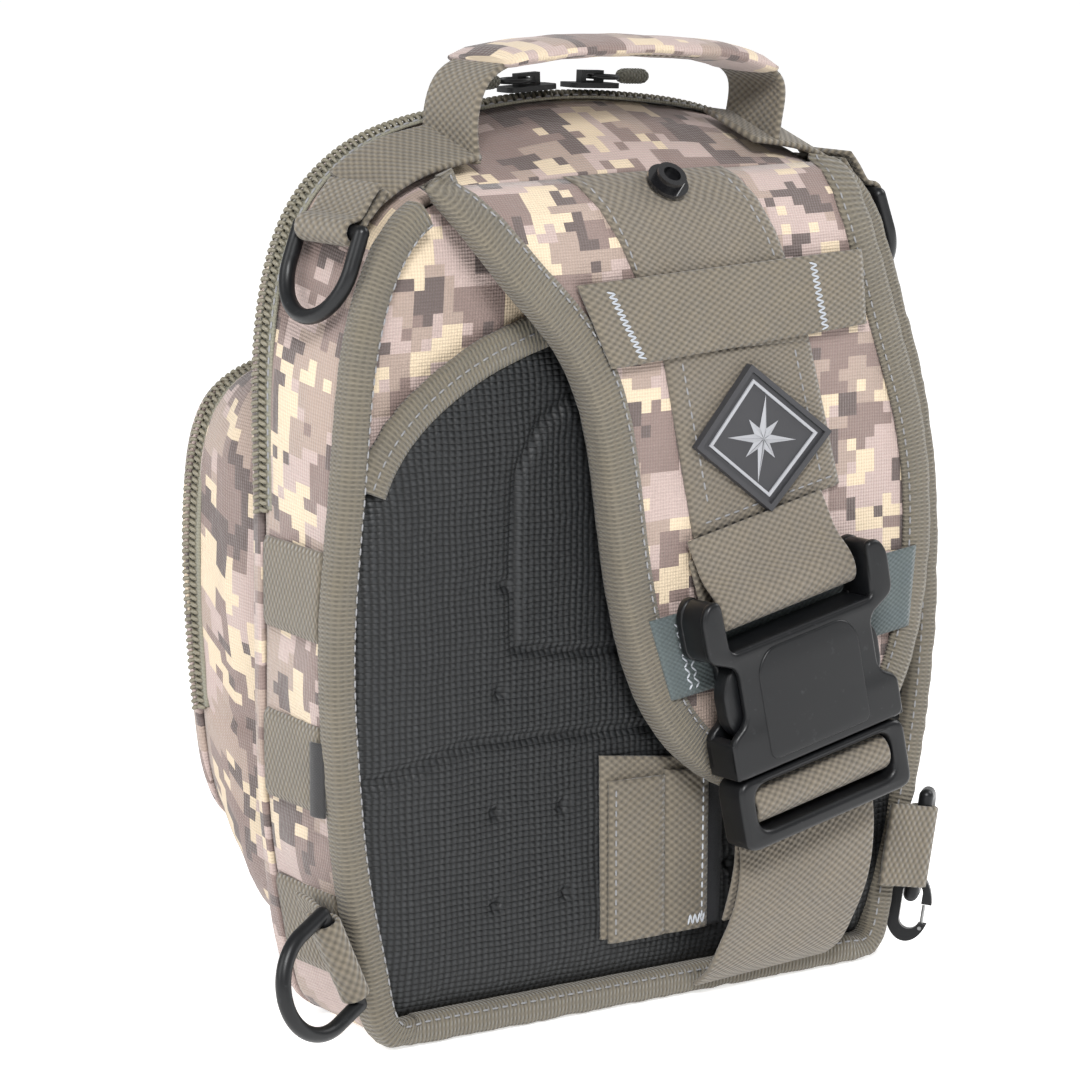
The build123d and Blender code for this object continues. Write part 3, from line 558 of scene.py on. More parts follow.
CAMO = camo_material()
KHAKI = webbing_material("khaki_webbing", rgb(99, 93, 83), 1.6, 2.2, 0.26, 0.42)
WIDE = webbing_material("sling_webbing", rgb(100, 94, 85), 1.45, 2.0, 0.24, 0.4)
BINDING = webbing_material("binding_tape", rgb(98, 93, 83), 2.2, 1.3, 0.34, 0.36, True)
TAPE = webbing_material("zip_tape", rgb(118, 117, 106), 1.4, 1.0, 0.08, 0.14, True)
ELASTIC = webbing_material("elastic_band", rgb(70, 80, 83), 1.1, 1.5, 0.12, 0.2)
CORD = webbing_material("pull_cord", rgb(96, 96, 88), 0.9, 1.4, 0.2, 0.3)
LINING = webbing_material("lining_cloth", rgb(120, 112, 98), 0.6, 0.6, 0.05, 0.08)
MESH = mesh_material()
PLASTIC = plastic_material("black_acetal", rgb(14, 15, 17))
DARK_PLASTIC = plastic_material("slider_acetal", rgb(30, 31, 32), 0.42)
COIL = simple_material("nylon_coil", rgb(112, 107, 92), 0.45, 90.0, 0.2, 0.03)
RUBBER = simple_material("patch_rubber", rgb(48, 48, 51), 0.62, 120.0, 0.15, 0.05)
RUBBER_LINE = simple_material("patch_relief", rgb(150, 151, 155), 0.6, 120.0, 0.1, 0.04)
STUD = simple_material(
    "stud_enamel", rgb(18, 18, 20), 0.16, 160.0, 0.2, 0.01, Coat_Weight=0.6, Coat_Roughness=0.08
)
STEEL = simple_material("spring_wire", rgb(150, 150, 150), 0.32, 300.0, 0.15, 0.02, Metallic=1.0)
LABEL = webbing_material("label_cloth", rgb(34, 34, 36), 0.5, 0.5, 0.05, 0.1)
BOARD = simple_material("stiffener_board", rgb(40, 40, 42), 0.55, 80.0)
HOOK_TAPE = simple_material("hook_tape", rgb(30, 31, 34), 0.7, 900.0, 0.7, 0.5)
THREADS = {
    "grey": simple_material("grey_thread", rgb(128, 128, 130), 0.6, 400.0, 0.15, 0.02),
    "pale": simple_material("pale_thread", rgb(168, 172, 178), 0.6, 400.0, 0.15, 0.02),
}


# ------------------------------------------------------------------ main compartment
def finish_piece(obj, slot, body, *replaced):
    if body:
        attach(obj, body)
    if replaced:
        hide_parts(*replaced)
    return obj


def bent_piece(obj, slot, body_a, body_b, start, end, *replaced):
    """A piece baked into place, with the parts it replaces hidden."""
    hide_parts(*replaced)
    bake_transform(obj)
    return obj


def sleeve_rows(ring_a, y_a, ring_b, y_b, wall, lumps, count=18, middle=None):
    """Rows of a hollow band between two outlines: the outside from a to b, then the inside back."""
    rows, uv = [], []
    size = len(ring_a)
    around = lengths(np.vstack([ring_a, ring_a[:1]]))

    def section(y, s):
        if middle is None:
            return ring_a + (ring_b - ring_a) * s
        ring_m, y_m = middle
        if y < y_m:
            return ring_a + (ring_m - ring_a) * (y - y_a) / (y_m - y_a)
        return ring_m + (ring_b - ring_m) * (y - y_m) / (y_b - y_m)

    for s in np.linspace(0, 1, count):
        y = y_a + (y_b - y_a) * s
        line = section(y, s)
        points = at_y(line, y)
        rows.append(at_y(line + outward(line) * lumps(points, s)[:, None], y))
        uv.append(np.stack([around, np.full(size + 1, y)], 1))
    for s in np.linspace(1, 0, 7):
        y = y_a + (y_b - y_a) * s
        line = section(y, s)
        rows.append(at_y(line - outward(line) * wall, y))
        uv.append(np.stack([around, np.full(size + 1, y)], 1))
    uv.append(uv[0])
    return rows, uv


def gusset_lumps(points, s):
    """Cloth stands out between the webbing rows, and rumples a little everywhere."""
    z, x = points[:, 2], points[:, 0]
    side = smooth_step(np.abs(x), 80, 92)
    bare = ((44, 67), (92, 115), (141, 205))  # heights between the rows
    gaps = sum(np.clip(np.sin(np.clip((z - a) / (b - a), 0, 1) * pi), 0, 1) for a, b in bare)
    swell = (1.5 * gaps * side + 1.3 * (1 - side) * smooth_step(z, 150, 230)) * sin(pi * s)
    fold = rumple(points, 26, 2.0) * 1.1 + rumple(points, 9, 5.0) * 0.35
    return (swell + fold * sin(pi * s) ** 0.6) * smooth_step(z, 2, 14)


def main_gusset():
    rows, uv = sleeve_rows(loop(OUTLINE_BACK), Y_BACK, loop(OUTLINE_ZIP), Y_ZIP - 1.2, 2.3, gusset_lumps)
    finish_piece(skin("main_gusset_cloth", rows, uv, CAMO, True, True), "camo_fabric", "bag", "main_gusset")


def panel_shell(name, edge_keys, edge_y, face_keys, face_y, centre, crown, material, lumps=0.5, wall=2.4):
    """A front panel with a rounded edge, closed on the inside as well."""
    edge, face = loop(edge_keys), loop(face_keys)
    rows, uv = [], []
    normal = outward(face)
    depth = face_y - edge_y
    turns = np.linspace(0, 1, 7)
    for k in turns:
        bend = k * pi / 2
        line = edge + (face - edge) * (1 - cos(bend))
        rows.append(at_y(line, edge_y + depth * sin(bend)))
        uv.append(face + normal * (1 - k) * depth * 1.25)
    for shrink in np.linspace(0.97, 0.03, 34):
        line = centre + (face - centre) * shrink
        points = at_y(line, face_y)
        rise = crown * (1 - shrink ** 2) + lumps * rumple(points, 24, 8.0) * min(1, (1 - shrink) * 8)
        rows.append(at_y(line, face_y + rise))
        uv.append(line)
    outer = len(rows)
    for k in range(outer - 1, -1, -1):
        line = rows[k][:, [0, 2]]
        inside = rows[k][:, 1] - wall
        if k < len(turns):
            line = line - normal * wall * (1 - k / len(turns))
            inside = np.maximum(rows[k][:, 1] - wall * k / len(turns), edge_y)
        rows.append(at_y(line, inside))
        uv.append(uv[k])
    uv.append(uv[0])
    uv = [np.vstack([row, row[:1]]) for row in uv]
    return skin(name, rows, uv, material, True, True)


def main_front():
    middle = np.array([0, 190.0])
    obj = panel_shell("main_front_cloth", OUTLINE_ZIP, Y_ZIP + 1.2, OUTLINE_FRONT, Y_FRONT, middle, 0.0, CAMO)
    bent_piece(obj, "camo_fabric", "bag", "flap", *MAIN_FOLD, "main_front_panel", "main_flap")


def back_panel():
    """Camouflage cloth of the back, seen above the mesh pad."""
    ring = loop(OUTLINE_BACK)
    centre = np.array([0, 120.0])
    rows, uv = [], []
    for shrink in np.concatenate([np.linspace(0.985, 0.3, 40), [0.1]]):
        line = centre + (ring - centre) * shrink
        points = at_y(line, Y_BACK - 2.5)
        puff = 2.2 * np.sin(np.clip((line[:, 1] - 190) / 45, 0, 1) * pi) + 0.8 * rumple(points, 18, 4.0)
        rows.append(at_y(line, Y_BACK - 2.4 - puff * min(1, (1 - shrink) * 9)))
        uv.append(line)
    uv = [np.vstack([row, row[:1]]) for row in uv]
    obj = skin("back_panel_cloth", rows, uv, CAMO, True, False, (False, True))
    finish_piece(obj, "camo_fabric", "bag", "back_panel")


def groove(x, z, line, width, depth):
    """Depth of an embossed channel along a polyline at (x, z)."""
    best = 1e9
    for (x0, z0), (x1, z1) in zip(line[:-1], line[1:]):
        dx, dz = x1 - x0, z1 - z0
        t = min(1, max(0, ((x - x0) * dx + (z - z0) * dz) / (dx * dx + dz * dz)))
        best = min(best, (x - x0 - t * dx) ** 2 + (z - z0 - t * dz) ** 2)
    return depth * np.exp(-best / (width * width))


CHANNELS = [
    [(-46.5, 158), (-47.5, 135), (-47, 109), (-20, 105), (0, 104)],
    [(-46.5, 158), (-38, 172), (-25, 180), (0, 184)],
    [(46.5, 158), (47.5, 135), (47, 109), (20, 105), (0, 104)],
    [(46.5, 158), (38, 172), (25, 180), (0, 184)],
    [(-96, 76), (-62, 84), (-20, 82), (0, 81)],
    [(96, 76), (62, 84), (20, 82), (0, 81)],
]
HALF_VENTS = [(50, 127), (52, 97), (53.5, 63), (54, 37), (30, 62), (29, 37)]
VENTS = [(sign * x, z) for sign in (-1, 1) for x, z in HALF_VENTS]


def mesh_pad():
    """Foam pad under the mesh: rolled edge, embossed channels and punched vents."""
    ring = loop(OUTLINE_PAD, 300, 110)
    centre = np.array([0, 100.0])
    rows, uv = [], []
    reach = np.linalg.norm(ring - centre, axis=1)
    for shrink in np.concatenate([np.linspace(1.035, 0.9, 10), np.linspace(0.885, 0.05, 62)]):
        line = centre + (ring - centre) * shrink
        inset = np.clip((1.035 - shrink) * reach, 0, 99)
        height = 6.0 * (1 - np.exp(-inset / 5.5)) - 0.9 * smooth_step(inset, 20, 70)
        dents = []
        for x, z in line:
            dent = max(groove(x, z, c, 1.7, 1.6) for c in CHANNELS)
            near = [(a, b) for a, b in VENTS if abs(x - a) < 6]
            dent += sum(2.6 * np.exp(-((x - a) ** 2 + (z - b) ** 2) / 2.4) for a, b in near)
            dents.append(dent)
        lumps = 0.5 * rumple(at_y(line, 0), 16, 1.0)
        rows.append(at_y(line, Y_BACK - 2.6 - height + np.array(dents) - lumps * np.minimum(1, inset / 8)))
        uv.append(line)
    uv = [np.vstack([row, row[:1]]) for row in uv]
    obj = skin("mesh_back_pad", rows, uv, MESH, True, False, (False, True))
    finish_piece(obj, "mesh", "bag", "back_mesh_cover", "back_foam_pad")


def piping(name, line, y, section, material, closed=True, sides=None):
    """A section, as (outwards, y) pairs, swept round an outline, with slight gathers."""
    normal = outward(line, closed) if sides is None else sides
    if closed:
        run = lengths(np.vstack([line, line[:1]]))
    else:
        run = lengths(line)
    section = np.array(section, float)
    wide = lengths(np.vstack([section, section[:1]]))
    rows, uv = [], []
    for (x, z), n, s in zip(line, normal, run):
        gather = 0.28 * noise.noise(Vector((s / 7.0, 1.7, 3.0)))
        gather += 0.2 * noise.noise(Vector((s / 2.6, 9.0, 1.7)))
        out = section[:, 0] * (1 + 0.10 * gather) + gather
        up = np.maximum(z + n[1] * out, 0.05)
        depth = y(up, section[:, 1]) if callable(y) else y + section[:, 1]
        rows.append(np.stack([x + n[0] * out, depth - gather * 0.6, up], 1))
        uv.append([(w, s) for w in wide])
    if closed:
        uv.append([(w, run[-1]) for w in wide])
    return skin(name, rows, uv, material, True, closed, (not closed, not closed))


def bead(width, depth, points=18, flat=2.4):
    """Rounded section standing from y = 0 to -depth."""
    out = []
    for k in range(points):
        a = 2 * pi * k / points
        c, s = cos(a), sin(a)
        across = width / 2 * np.sign(c) * abs(c) ** (2 / flat)
        out.append((across, -depth / 2 + depth / 2 * np.sign(s) * abs(s) ** (2 / flat)))
    return out


def back_bindings():
    ring = loop(OUTLINE_BACK, 420, 80)
    normal = outward(ring)
    ring[:, 1] = np.maximum(ring[:, 1], 3.2)
    kept = ~((ring[:, 1] > 222) & (ring[:, 0] > -77) & (ring[:, 0] < 72))
    first = [k for k in range(len(ring)) if kept[k] and not kept[k - 1]][0]
    kept, ring, normal = (np.roll(v, -first, 0) for v in (kept, ring, normal))
    ring, normal = ring[kept], normal[kept]
    section = [(out - 1.5, y) for out, y in bead(8.6, 9.4, 22, 3.4)]
    obj = piping("panel_edge_binding", ring, Y_BACK + 0.3, section, BINDING, False, normal)
    finish_piece(obj, "binding", "bag", "back_panel_binding")
    thread.row(("bag", "grey"), at_y(ring - normal * 4.2, Y_BACK - 9.3), (0, -1, 0))
    # Tape over the top of the mesh pad.
    line = arch(OUTLINE_PAD, 155, 200)
    normal = outward(line, False)
    section = [(-3.6, 0.6), (-3.4, -1.3), (-1.5, -2.0), (2.5, -2.0), (5.8, -1.6), (6.8, -0.6), (6.6, 0.8),
               (1.5, 1.2)]
    obj = piping("pad_arch_tape", line + normal * 1.6, Y_BACK - 5.6, section, BINDING, False, normal)
    finish_piece(obj, "binding", "bag", "pad_arch_binding")
    thread.row(("bag", "grey"), at_y(line + normal * 3.6, Y_BACK - 7.8), (0, -1, 0))


# ------------------------------------------------------------------ zips
def zip_piece(obj, moving, fold, replaced=()):
    """A zip's rear half rides on the bag. Its front half is baked into place."""
    if moving:
        bent_piece(obj, "zip", "bag", moving, *fold, *replaced)
    else:
        finish_piece(obj, "zip", "bag", *replaced)


def teeth(name, line, normal, y, side, shift, replaced, moving=None, fold=None):
    """A nylon coil: rounded loops across the zip line, in one mesh."""
    pitch = 2.0
    count = int(lengths(line)[-1] / pitch)
    spots, outs = spaced(line, count), spaced(normal, count)
    ring = [(cos(a), sin(a)) for a in np.linspace(0, 2 * pi, 7)[:-1]]
    verts, faces = [], []
    for k in range(count):
        n = outs[k] / np.linalg.norm(outs[k])
        t = np.array([-n[1], n[0]])
        centre = spots[k] + t * pitch * shift
        base = len(verts)
        for w in np.linspace(-1, 1, 6):
            thick = 0.72 * (1 - 0.35 * w * w)
            across = y + side * (0.15 + 1.5 * (w + 1))
            bow = 1.05 * (1 - w * w) - 0.1
            slant = 0.42 * w
            for c, s in ring:
                p = centre + t * (thick * c + slant) + n * (bow + thick * s)
                verts.append((p[0], across, p[1]))
        for row in range(5):
            for c in range(6):
                d = (c + 1) % 6
                low = base + row * 6
                faces.append((low + c, low + d, low + 6 + d, low + 6 + c))
        faces.append(tuple(base + c for c in range(6)))
        faces.append(tuple(base + 30 + c for c in range(6)))
    zip_piece(outside_out(mesh_object(name, verts, faces, None, COIL)), moving, fold, replaced)


def zip_tape(name, line, normal, y_from, y_to, lift, moving=None, fold=None):
    """Woven tape beside a coil, lying on the cloth."""
    rows, uv = [], []
    run = lengths(line)
    ys = np.linspace(y_from, y_to, 5)
    for (x, z), n, s in zip(line, normal, run):
        rises = [lift[0] + (lift[1] - lift[0]) * k for k in np.linspace(0, 1, 5)]
        top = [(x + n[0] * rise, y, z + n[1] * rise) for rise, y in zip(rises, ys)]
        low = [(px - n[0] * 0.7, py, pz - n[1] * 0.7) for px, py, pz in reversed(top)]
        rows.append(top + low)
        uv.append([(y, s) for y in ys] + [(y, s) for y in ys[::-1]] + [(ys[0], s)])
    zip_piece(skin(name, rows, uv, TAPE, True, False, (True, True)), moving, fold)


def main_zip():
    line = arch(OUTLINE_ZIP, Z_ZIP_END, 420)
    normal = outward(line, False)
    coil = line + normal * 0.7
    teeth("main_coil_rear", coil, normal, Y_ZIP, -1, 0.0, ("main_zip_rear",))
    teeth("main_coil_front", coil, normal, Y_ZIP, 1, 0.5, ("main_zip_lower", "main_zip_flap"), "flap", MAIN_FOLD)
    zip_tape("main_tape_rear", line, normal, Y_ZIP - 5.5, Y_ZIP - 0.3, (0.9, 0.5))
    zip_tape("main_tape_front", line, normal, Y_ZIP + 0.3, Y_ZIP + 4.6, (0.5, -0.5), "flap", MAIN_FOLD)
    thread.row(("bag", "grey"), at_y(line + normal * 1.0, Y_ZIP - 4.3), at_y(normal, 0))


def pocket_zip():
    line = arch(OUTLINE_POCKET_ZIP, Z_LID + 0.5, 320)
    normal = outward(line, False)
    coil, y = line + normal * 0.6, Y_POCKET_ZIP
    teeth("pocket_coil_rear", coil, normal, y, -1, 0.0, ("pocket_zip_rear",))
    teeth("pocket_coil_lid", coil, normal, y, 1, 0.5, ("pocket_zip_lid",), "lid", LID_FOLD)
    zip_tape("pocket_tape_rear", line, normal, y - 5.0, y - 0.3, (0.9, 0.5))
    zip_tape("pocket_tape_lid", line, normal, y + 0.3, y + 4.4, (0.5, -0.9), "lid", LID_FOLD)


# ------------------------------------------------------------------ front pocket
def pocket_lumps(points, s):
    z, x = points[:, 2], points[:, 0]
    seam = -1.3 * np.exp(-((z - 80) / 2.2) ** 2) * smooth_step(np.abs(x), 55, 70)
    swell = 1.6 * smooth_step(z, 60, 130)
    fold = rumple(points, 24, 12.0) * 1.7 + rumple(points, 8, 3.0) * 0.4
    return (swell + fold) * sin(pi * s) ** 0.7 + seam * min(1, 6 * min(s, 1 - s))


def front_pocket():
    rows, uv = sleeve_rows(
        loop(OUTLINE_POCKET_ROOT), Y_FRONT + 0.3, loop(OUTLINE_POCKET_ZIP), Y_POCKET_ZIP - 1.2, 2.3,
        pocket_lumps, 22, (loop(OUTLINE_POCKET_MID), Y_POCKET_MID),
    )
    obj = skin("pocket_gusset_cloth", rows, uv, CAMO, True, True)
    finish_piece(obj, "camo_fabric", "bag", "pocket_gusset")
    obj = panel_shell(
        "pocket_front_cloth", OUTLINE_POCKET_ZIP, Y_POCKET_ZIP + 1.2, OUTLINE_POCKET_FACE, Y_POCKET,
        np.array([0, 100.0]), 0.0, CAMO,
    )
    bent_piece(obj, "camo_fabric", "bag", "lid", *LID_FOLD, "pocket_lower_panel", "pocket_lid")
    rows_of_webbing = []
    web_y, tack_y = Y_POCKET + 1.1, Y_POCKET + 1.9
    for z in (90, 128):
        path = [(-60, web_y, z + 12.5), (60, web_y, z + 12.5)]
        rows_of_webbing.append(webbing(f"pocket_row_{z}", path, UP, 25, KHAKI, straight=True, count=50))
        for x in (-57, -19, 19, 57):
            thread.zigzag(("lid", "grey"), (x, tack_y, z + 2), (x, tack_y, z + 23), RIGHT, TO_FRONT)
    finish_piece(rows_of_webbing[0], "webbing", "lid", "pocket_webbing")
    finish_piece(rows_of_webbing[1], "webbing", "lid")
    root, middle = loop(OUTLINE_POCKET_ROOT, 600), loop(OUTLINE_POCKET_MID, 600)
    for sign in (-1, 1):
        path = []
        for t in np.linspace(-6, -27, 14):
            y, z = 22 - 0.5 * t, 40 + 0.866 * t
            line = root + (middle - root) * max(0, y - Y_FRONT) / (Y_POCKET_MID - Y_FRONT)
            side = line[line[:, 0] * sign > 40]
            path.append((side[np.abs(side[:, 1] - z).argmin()][0] + sign * 1.5, y, z))
        sides = np.tile((0, 0.866, 0.5), (16, 1))
        obj = webbing(f"side_stay_{'left' if sign < 0 else 'right'}", path, sides, 25, KHAKI, count=16)
        finish_piece(obj, "webbing", "bag", *(("side_stays",) if sign < 0 else ()))


# ------------------------------------------------------------------ webbing on the sides and rings
def side_row(name, low, sign):
    """Webbing round the side of the gusset at one height."""
    back, front = loop(OUTLINE_BACK), loop(OUTLINE_ZIP)
    levels = np.linspace(low, low + 25, 13)
    rows, uv = [], []
    for s in np.linspace(0.02, 0.97, 16):
        line = back + (front - back) * s
        half = line[line[:, 0] * sign > 60]
        order = np.argsort(half[:, 1])
        x = np.interp(levels, half[order, 1], np.abs(half[order, 0]))
        y = Y_BACK + (Y_ZIP - 1.5 - Y_BACK) * s
        ease = np.minimum(1, np.minimum(levels - low, low + 25 - levels) / 1.2 + 0.35)
        top = [(sign * (a + 0.5 + 1.35 * e), y, z) for a, e, z in zip(x, ease, levels)]
        under = [(sign * (a + 0.3), y, z) for a, z in zip(x[::-1], levels[::-1])]
        rows.append(top + under)
        uv.append([(z, y) for z in levels] + [(z, y) for z in levels[::-1]] + [(levels[0], y)])
    return skin(name, rows, uv, KHAKI, True, False, (True, True))


def sides():
    for sign, side in ((-1, "left"), (1, "right")):
        for k, low in enumerate((19.0, 67.0, 115.5)):
            obj = side_row(f"side_row_{side}_{k}", low, sign)
            finish_piece(obj, "webbing", "bag", *((f"side_webbing_{side}",) if k == 0 else ()))
    label = [(-107.2, Y_BACK - 2.5, 78), (-108.4, Y_BACK + 0.5, 78), (-108.2, Y_BACK + 3, 78)]
    obj = webbing("side_label_cloth", label, (0, 0, 1), 21, LABEL, 0.7, 8)
    finish_piece(obj, "label", "bag", "side_label")


def to_world(origin, x_dir, z_dir):
    """Maps a ring frame's points to the row frame."""
    o, x, z = (np.array(v, float) for v in (origin, x_dir, z_dir))
    x, z = x / np.linalg.norm(x), z / np.linalg.norm(z)
    y = np.cross(z, x)
    return lambda p: o + x * p[0] + y * p[1] + z * p[2], y


BAR_WRAP = 3.4  # radius of webbing round a ring's bar


def ring_tabs():
    turn = radians(40)
    for sign, side, x0 in ((-1, "left", -94.0), (1, "right", 88.5)):
        x_dir, z_dir = (-sign * cos(turn), 0, -sin(turn)), (-sign * sin(turn), 0, cos(turn))
        place, along = to_world((x0, -8.5, 227.3), x_dir, z_dir)
        points = [place(p) for p in ((1.2, 0, 15), (1.4, 0, 8))]
        angles = np.radians([60, 20, -20, -60, -90, -120, -160, -200, -240])
        points += [place((BAR_WRAP * cos(a), 0, BAR_WRAP * sin(a))) for a in angles]
        points += [place(p) for p in ((-1.4, 0, 8), (-1.6, 0, 15))]
        obj = webbing(f"top_ring_web_{side}", points, along, 24.5, KHAKI, 1.5, 48)
        finish_piece(obj, "webbing", "bag", f"top_ring_tab_{side}")
        # The strip that runs up over the shoulder to the handle's foot.
        route = ((8.5, 237.6), (14.5, 241.3), (23.5, 245.2), (34.5, 247.6), (43, 248.9))
        strip = [(x0 - sign * a, -7.5, z) for a, z in route]
        obj = webbing(f"shoulder_strip_{side}", strip, (0, 1, 0.32), 25, KHAKI, 1.8, 30)
        finish_piece(obj, "webbing", "bag")
    turn = radians(24)
    place, along = to_world((-107.2, -30.5, 29.5), (cos(turn), 0, sin(turn)), (0, 1, 0))
    tail = [place(p) for p in ((7.2, 0, 24), (6.4, 0, 17), (4.6, 0, 10), (3.4, 0, 4))]
    corner_web("left", place, along, tail)
    turn = radians(11)
    place, along = to_world((100.6, -30.9, 33.0), (0, -1, 0), (-cos(turn), 0, sin(turn)))
    corner_web("right", place, along, [place((3.4, 0, z)) for z in (16, 9, 3)])


def corner_web(side, place, along, tail):
    """Webbing that comes down its tail, round a ring's bar and back under itself."""
    angles = np.radians([20, 60, 90, 120, 160, 200, 225])
    points = tail + [place((BAR_WRAP * cos(a), 0, -BAR_WRAP * sin(a))) for a in angles]
    points += [place((0.2, 0, 5.5)), place((1.4, 0, 11))]
    obj = webbing(f"corner_web_{side}", points, along, 24.5, KHAKI, 1.5, 48)
    finish_piece(obj, "webbing", "bag", f"bottom_ring_tab_{side}")


# ------------------------------------------------------------------ handle
HANDLE_Y = -6.5
HANDLE_PATH = [(-52.5, 250.9), (-52, 258), (-48, 266.5), (-38, 271.2), (0, 272), (30, 270),
               (49, 266.5), (55.5, 262), (55.2, 250.9)]
GRIP_PATH = [(-43, 270.6), (-30, 272.2), (0, 272.9), (28, 271.0), (45, 268.0), (52.5, 265.2)]


def handle():
    path = [(-51.5, 243.5)] + HANDLE_PATH + [(54.0, 243.5)]
    obj = webbing("handle_strip", [(x, HANDLE_Y, z) for x, z in path], (0, 1, 0), 25, KHAKI, 1.8, 110)
    bent_piece(obj, "webbing", "bag", "handle", (0, HANDLE_Y, 246), (0, HANDLE_Y, 256), "handle_webbing")
    line = spaced(curve(GRIP_PATH, 300), 90)
    run = lengths(line)
    normal = -outward(line, False)
    rows, uv = [], []
    for (x, z), n, s in zip(line, normal, run):
        end = min(1.0, 0.55 + min(s, run[-1] - s) / 9)
        ring = []
        for k in range(26):
            a = 2 * pi * k / 26
            c, q = cos(a), sin(a)
            wide = 14.6 * np.sign(c) * abs(c) ** 0.8
            high = (3.6 if q > 0 else 2.6) * np.sign(q) * abs(q) ** 0.8 * end
            high += 0.35 * noise.noise(Vector((s / 9, c * 1.5, q)))
            ring.append((x + n[0] * high, HANDLE_Y + wide, z + n[1] * high))
        rows.append(ring)
        uv.append([(k * 2.6, s) for k in range(27)])
    obj = skin("handle_grip_cloth", rows, uv, CAMO, True, False, (True, True))
    finish_piece(obj, "camo_fabric", "handle", "handle_sleeve")


# ------------------------------------------------------------------ sling strap
def strap_front(z):
    """Depth of the pad's face, which curls over to the bag's top seam."""
    line = np.array(STRAP_FRONT_LINE)
    return np.interp(z, line[:, 1], line[:, 0])


def strap_back(z):
    line = np.array(STRAP_BACK_LINE)
    return np.interp(z, line[:, 1], line[:, 0])


def strap():
    edge = curve(STRAP_EDGE, 260)
    top = np.linspace(edge[-1], edge[0], 42)[1:-1]
    ring = np.vstack([edge, top])[::-1]
    centre = np.array([33.0, 150.0])
    rows, uv = [], []
    reach = np.linalg.norm(ring - centre, axis=1)
    for side, shrinks in ((1, np.linspace(0.05, 0.975, 44)), (-1, np.linspace(0.975, 0.05, 16))):
        for shrink in shrinks:
            line = centre + (ring - centre) * shrink
            inset = (1 - shrink) * reach
            bulge = 1 - np.exp(-inset / 4.5) * (1 - smooth_step(line[:, 1], 222, 236))
            points = at_y(line, 0)
            line[:, 1] = np.minimum(line[:, 1], 239.3 if side > 0 else 234.3)
            if side > 0:
                y = strap_front(line[:, 1]) + 3.5 - 3.4 * bulge + 0.45 * rumple(points, 14, 6.0)
            else:
                y = strap_back(line[:, 1]) - 3.4 + 3.0 * bulge
            rows.append(at_y(line, y))
            uv.append(np.stack([line[:, 0], line[:, 1] + 0.8 * y], 1))
    uv = [np.vstack([row, row[:1]]) for row in uv]
    obj = skin("sling_pad_cloth", rows, uv, CAMO, True, False, (True, True))
    finish_piece(obj, "camo_fabric", "bag", "strap_pad")
    line = edge[::-1]
    line = line[line[:, 1] <= 240.0]
    normal = -outward(line, False)
    section = [(-10.0, -5.0), (-9.7, -5.8), (-6, -5.9), (-1.4, -5.9), (0.5, -5.1), (1.2, -2.5), (1.2, 1.8),
               (0.2, 4.2), (-2.5, 5.2), (-5, 4.6), (-5.2, 3.0), (-5.4, -3.0), (-7.5, -4.2)]

    def on_pad(z, depth):
        front = strap_front(np.minimum(z, 239.3)) + 5.0 + depth
        back = strap_back(np.minimum(z, 234.4)) - 5.0 + depth
        return front + (back - front) * smooth_step(depth, -3.2, 3.2)

    obj = piping("sling_edge_tape", line, on_pad, section, BINDING, False, normal)
    finish_piece(obj, "binding", "bag", "strap_binding")
    inner = line - normal * 8.2
    thread.row(("bag", "grey"), at_y(inner, strap_front(np.minimum(inner[:, 1], 239.3)) - 1.2), TO_BACK)

    def face(x, z):
        return float(strap_front(min(z, 239.4)))

    obj = patch("sling_load_web", [(-28, 239.2), (28, 239.2), (46, 190), (-6.5, 190)], face, WIDE, 1.5, 1.2)
    finish_piece(obj, "webbing", "bag", "strap_webbing")
    obj = patch("sling_load_web_low", [(-6.5, 190), (46, 190), (57.5, 147.8), (4.8, 136.6)], face, WIDE, 1.5)
    finish_piece(obj, "webbing", "bag")
    corners = [(-37.5, 211.3), (64, 215), (65.8, 193.5), (-25.5, 187.5)]
    obj = patch("sling_cross_web", corners, face, KHAKI, 1.5, lift=1.6)
    finish_piece(obj, "webbing", "bag", "strap_cross_webbing")
    top = Y_STRAP_FACE - 3.2
    for a, b in (((-27, 209), (-15.5, 189.5)), ((45, 212.5), (50, 193))):
        thread.zigzag(("bag", "pale"), (a[0], top, a[1]), (b[0], top, b[1]), RIGHT, TO_BACK, 2.8, 0.9)
    thread.row(("bag", "grey"), [(8, Y_STRAP_FACE - 1.65, 141), (55, Y_STRAP_FACE - 1.65, 150.5)], TO_BACK)
    seams = (((-24.5, 238), (-16, 213)), ((24, 238), (33, 214)), ((-0.5, 187), (9, 146)), ((40, 188), (50, 151)))
    for a, b in seams:
        run = np.linspace(a, b, 24)
        thread.row(("bag", "grey"), [(x, face(x, z) - 1.6, z) for x, z in run], TO_BACK)
    corners = [(-11.5, 115), (86.5, 127), (84, 103.5), (-3.5, 91.5)]
    obj = patch("sling_elastic", corners, face, ELASTIC, 1.0, lift=0.9)
    finish_piece(obj, "elastic", "bag", "strap_elastic_keeper")
    top = Y_STRAP_FACE - 1.9
    for a, b in (((-2.4, 113.5), (3.2, 94)), ((-0.2, 113.5), (5.6, 94.3))):
        thread.zigzag(("bag", "pale"), (a[0], top, a[1]), (b[0], top, b[1]), RIGHT, TO_BACK, 1.6, 1.6)


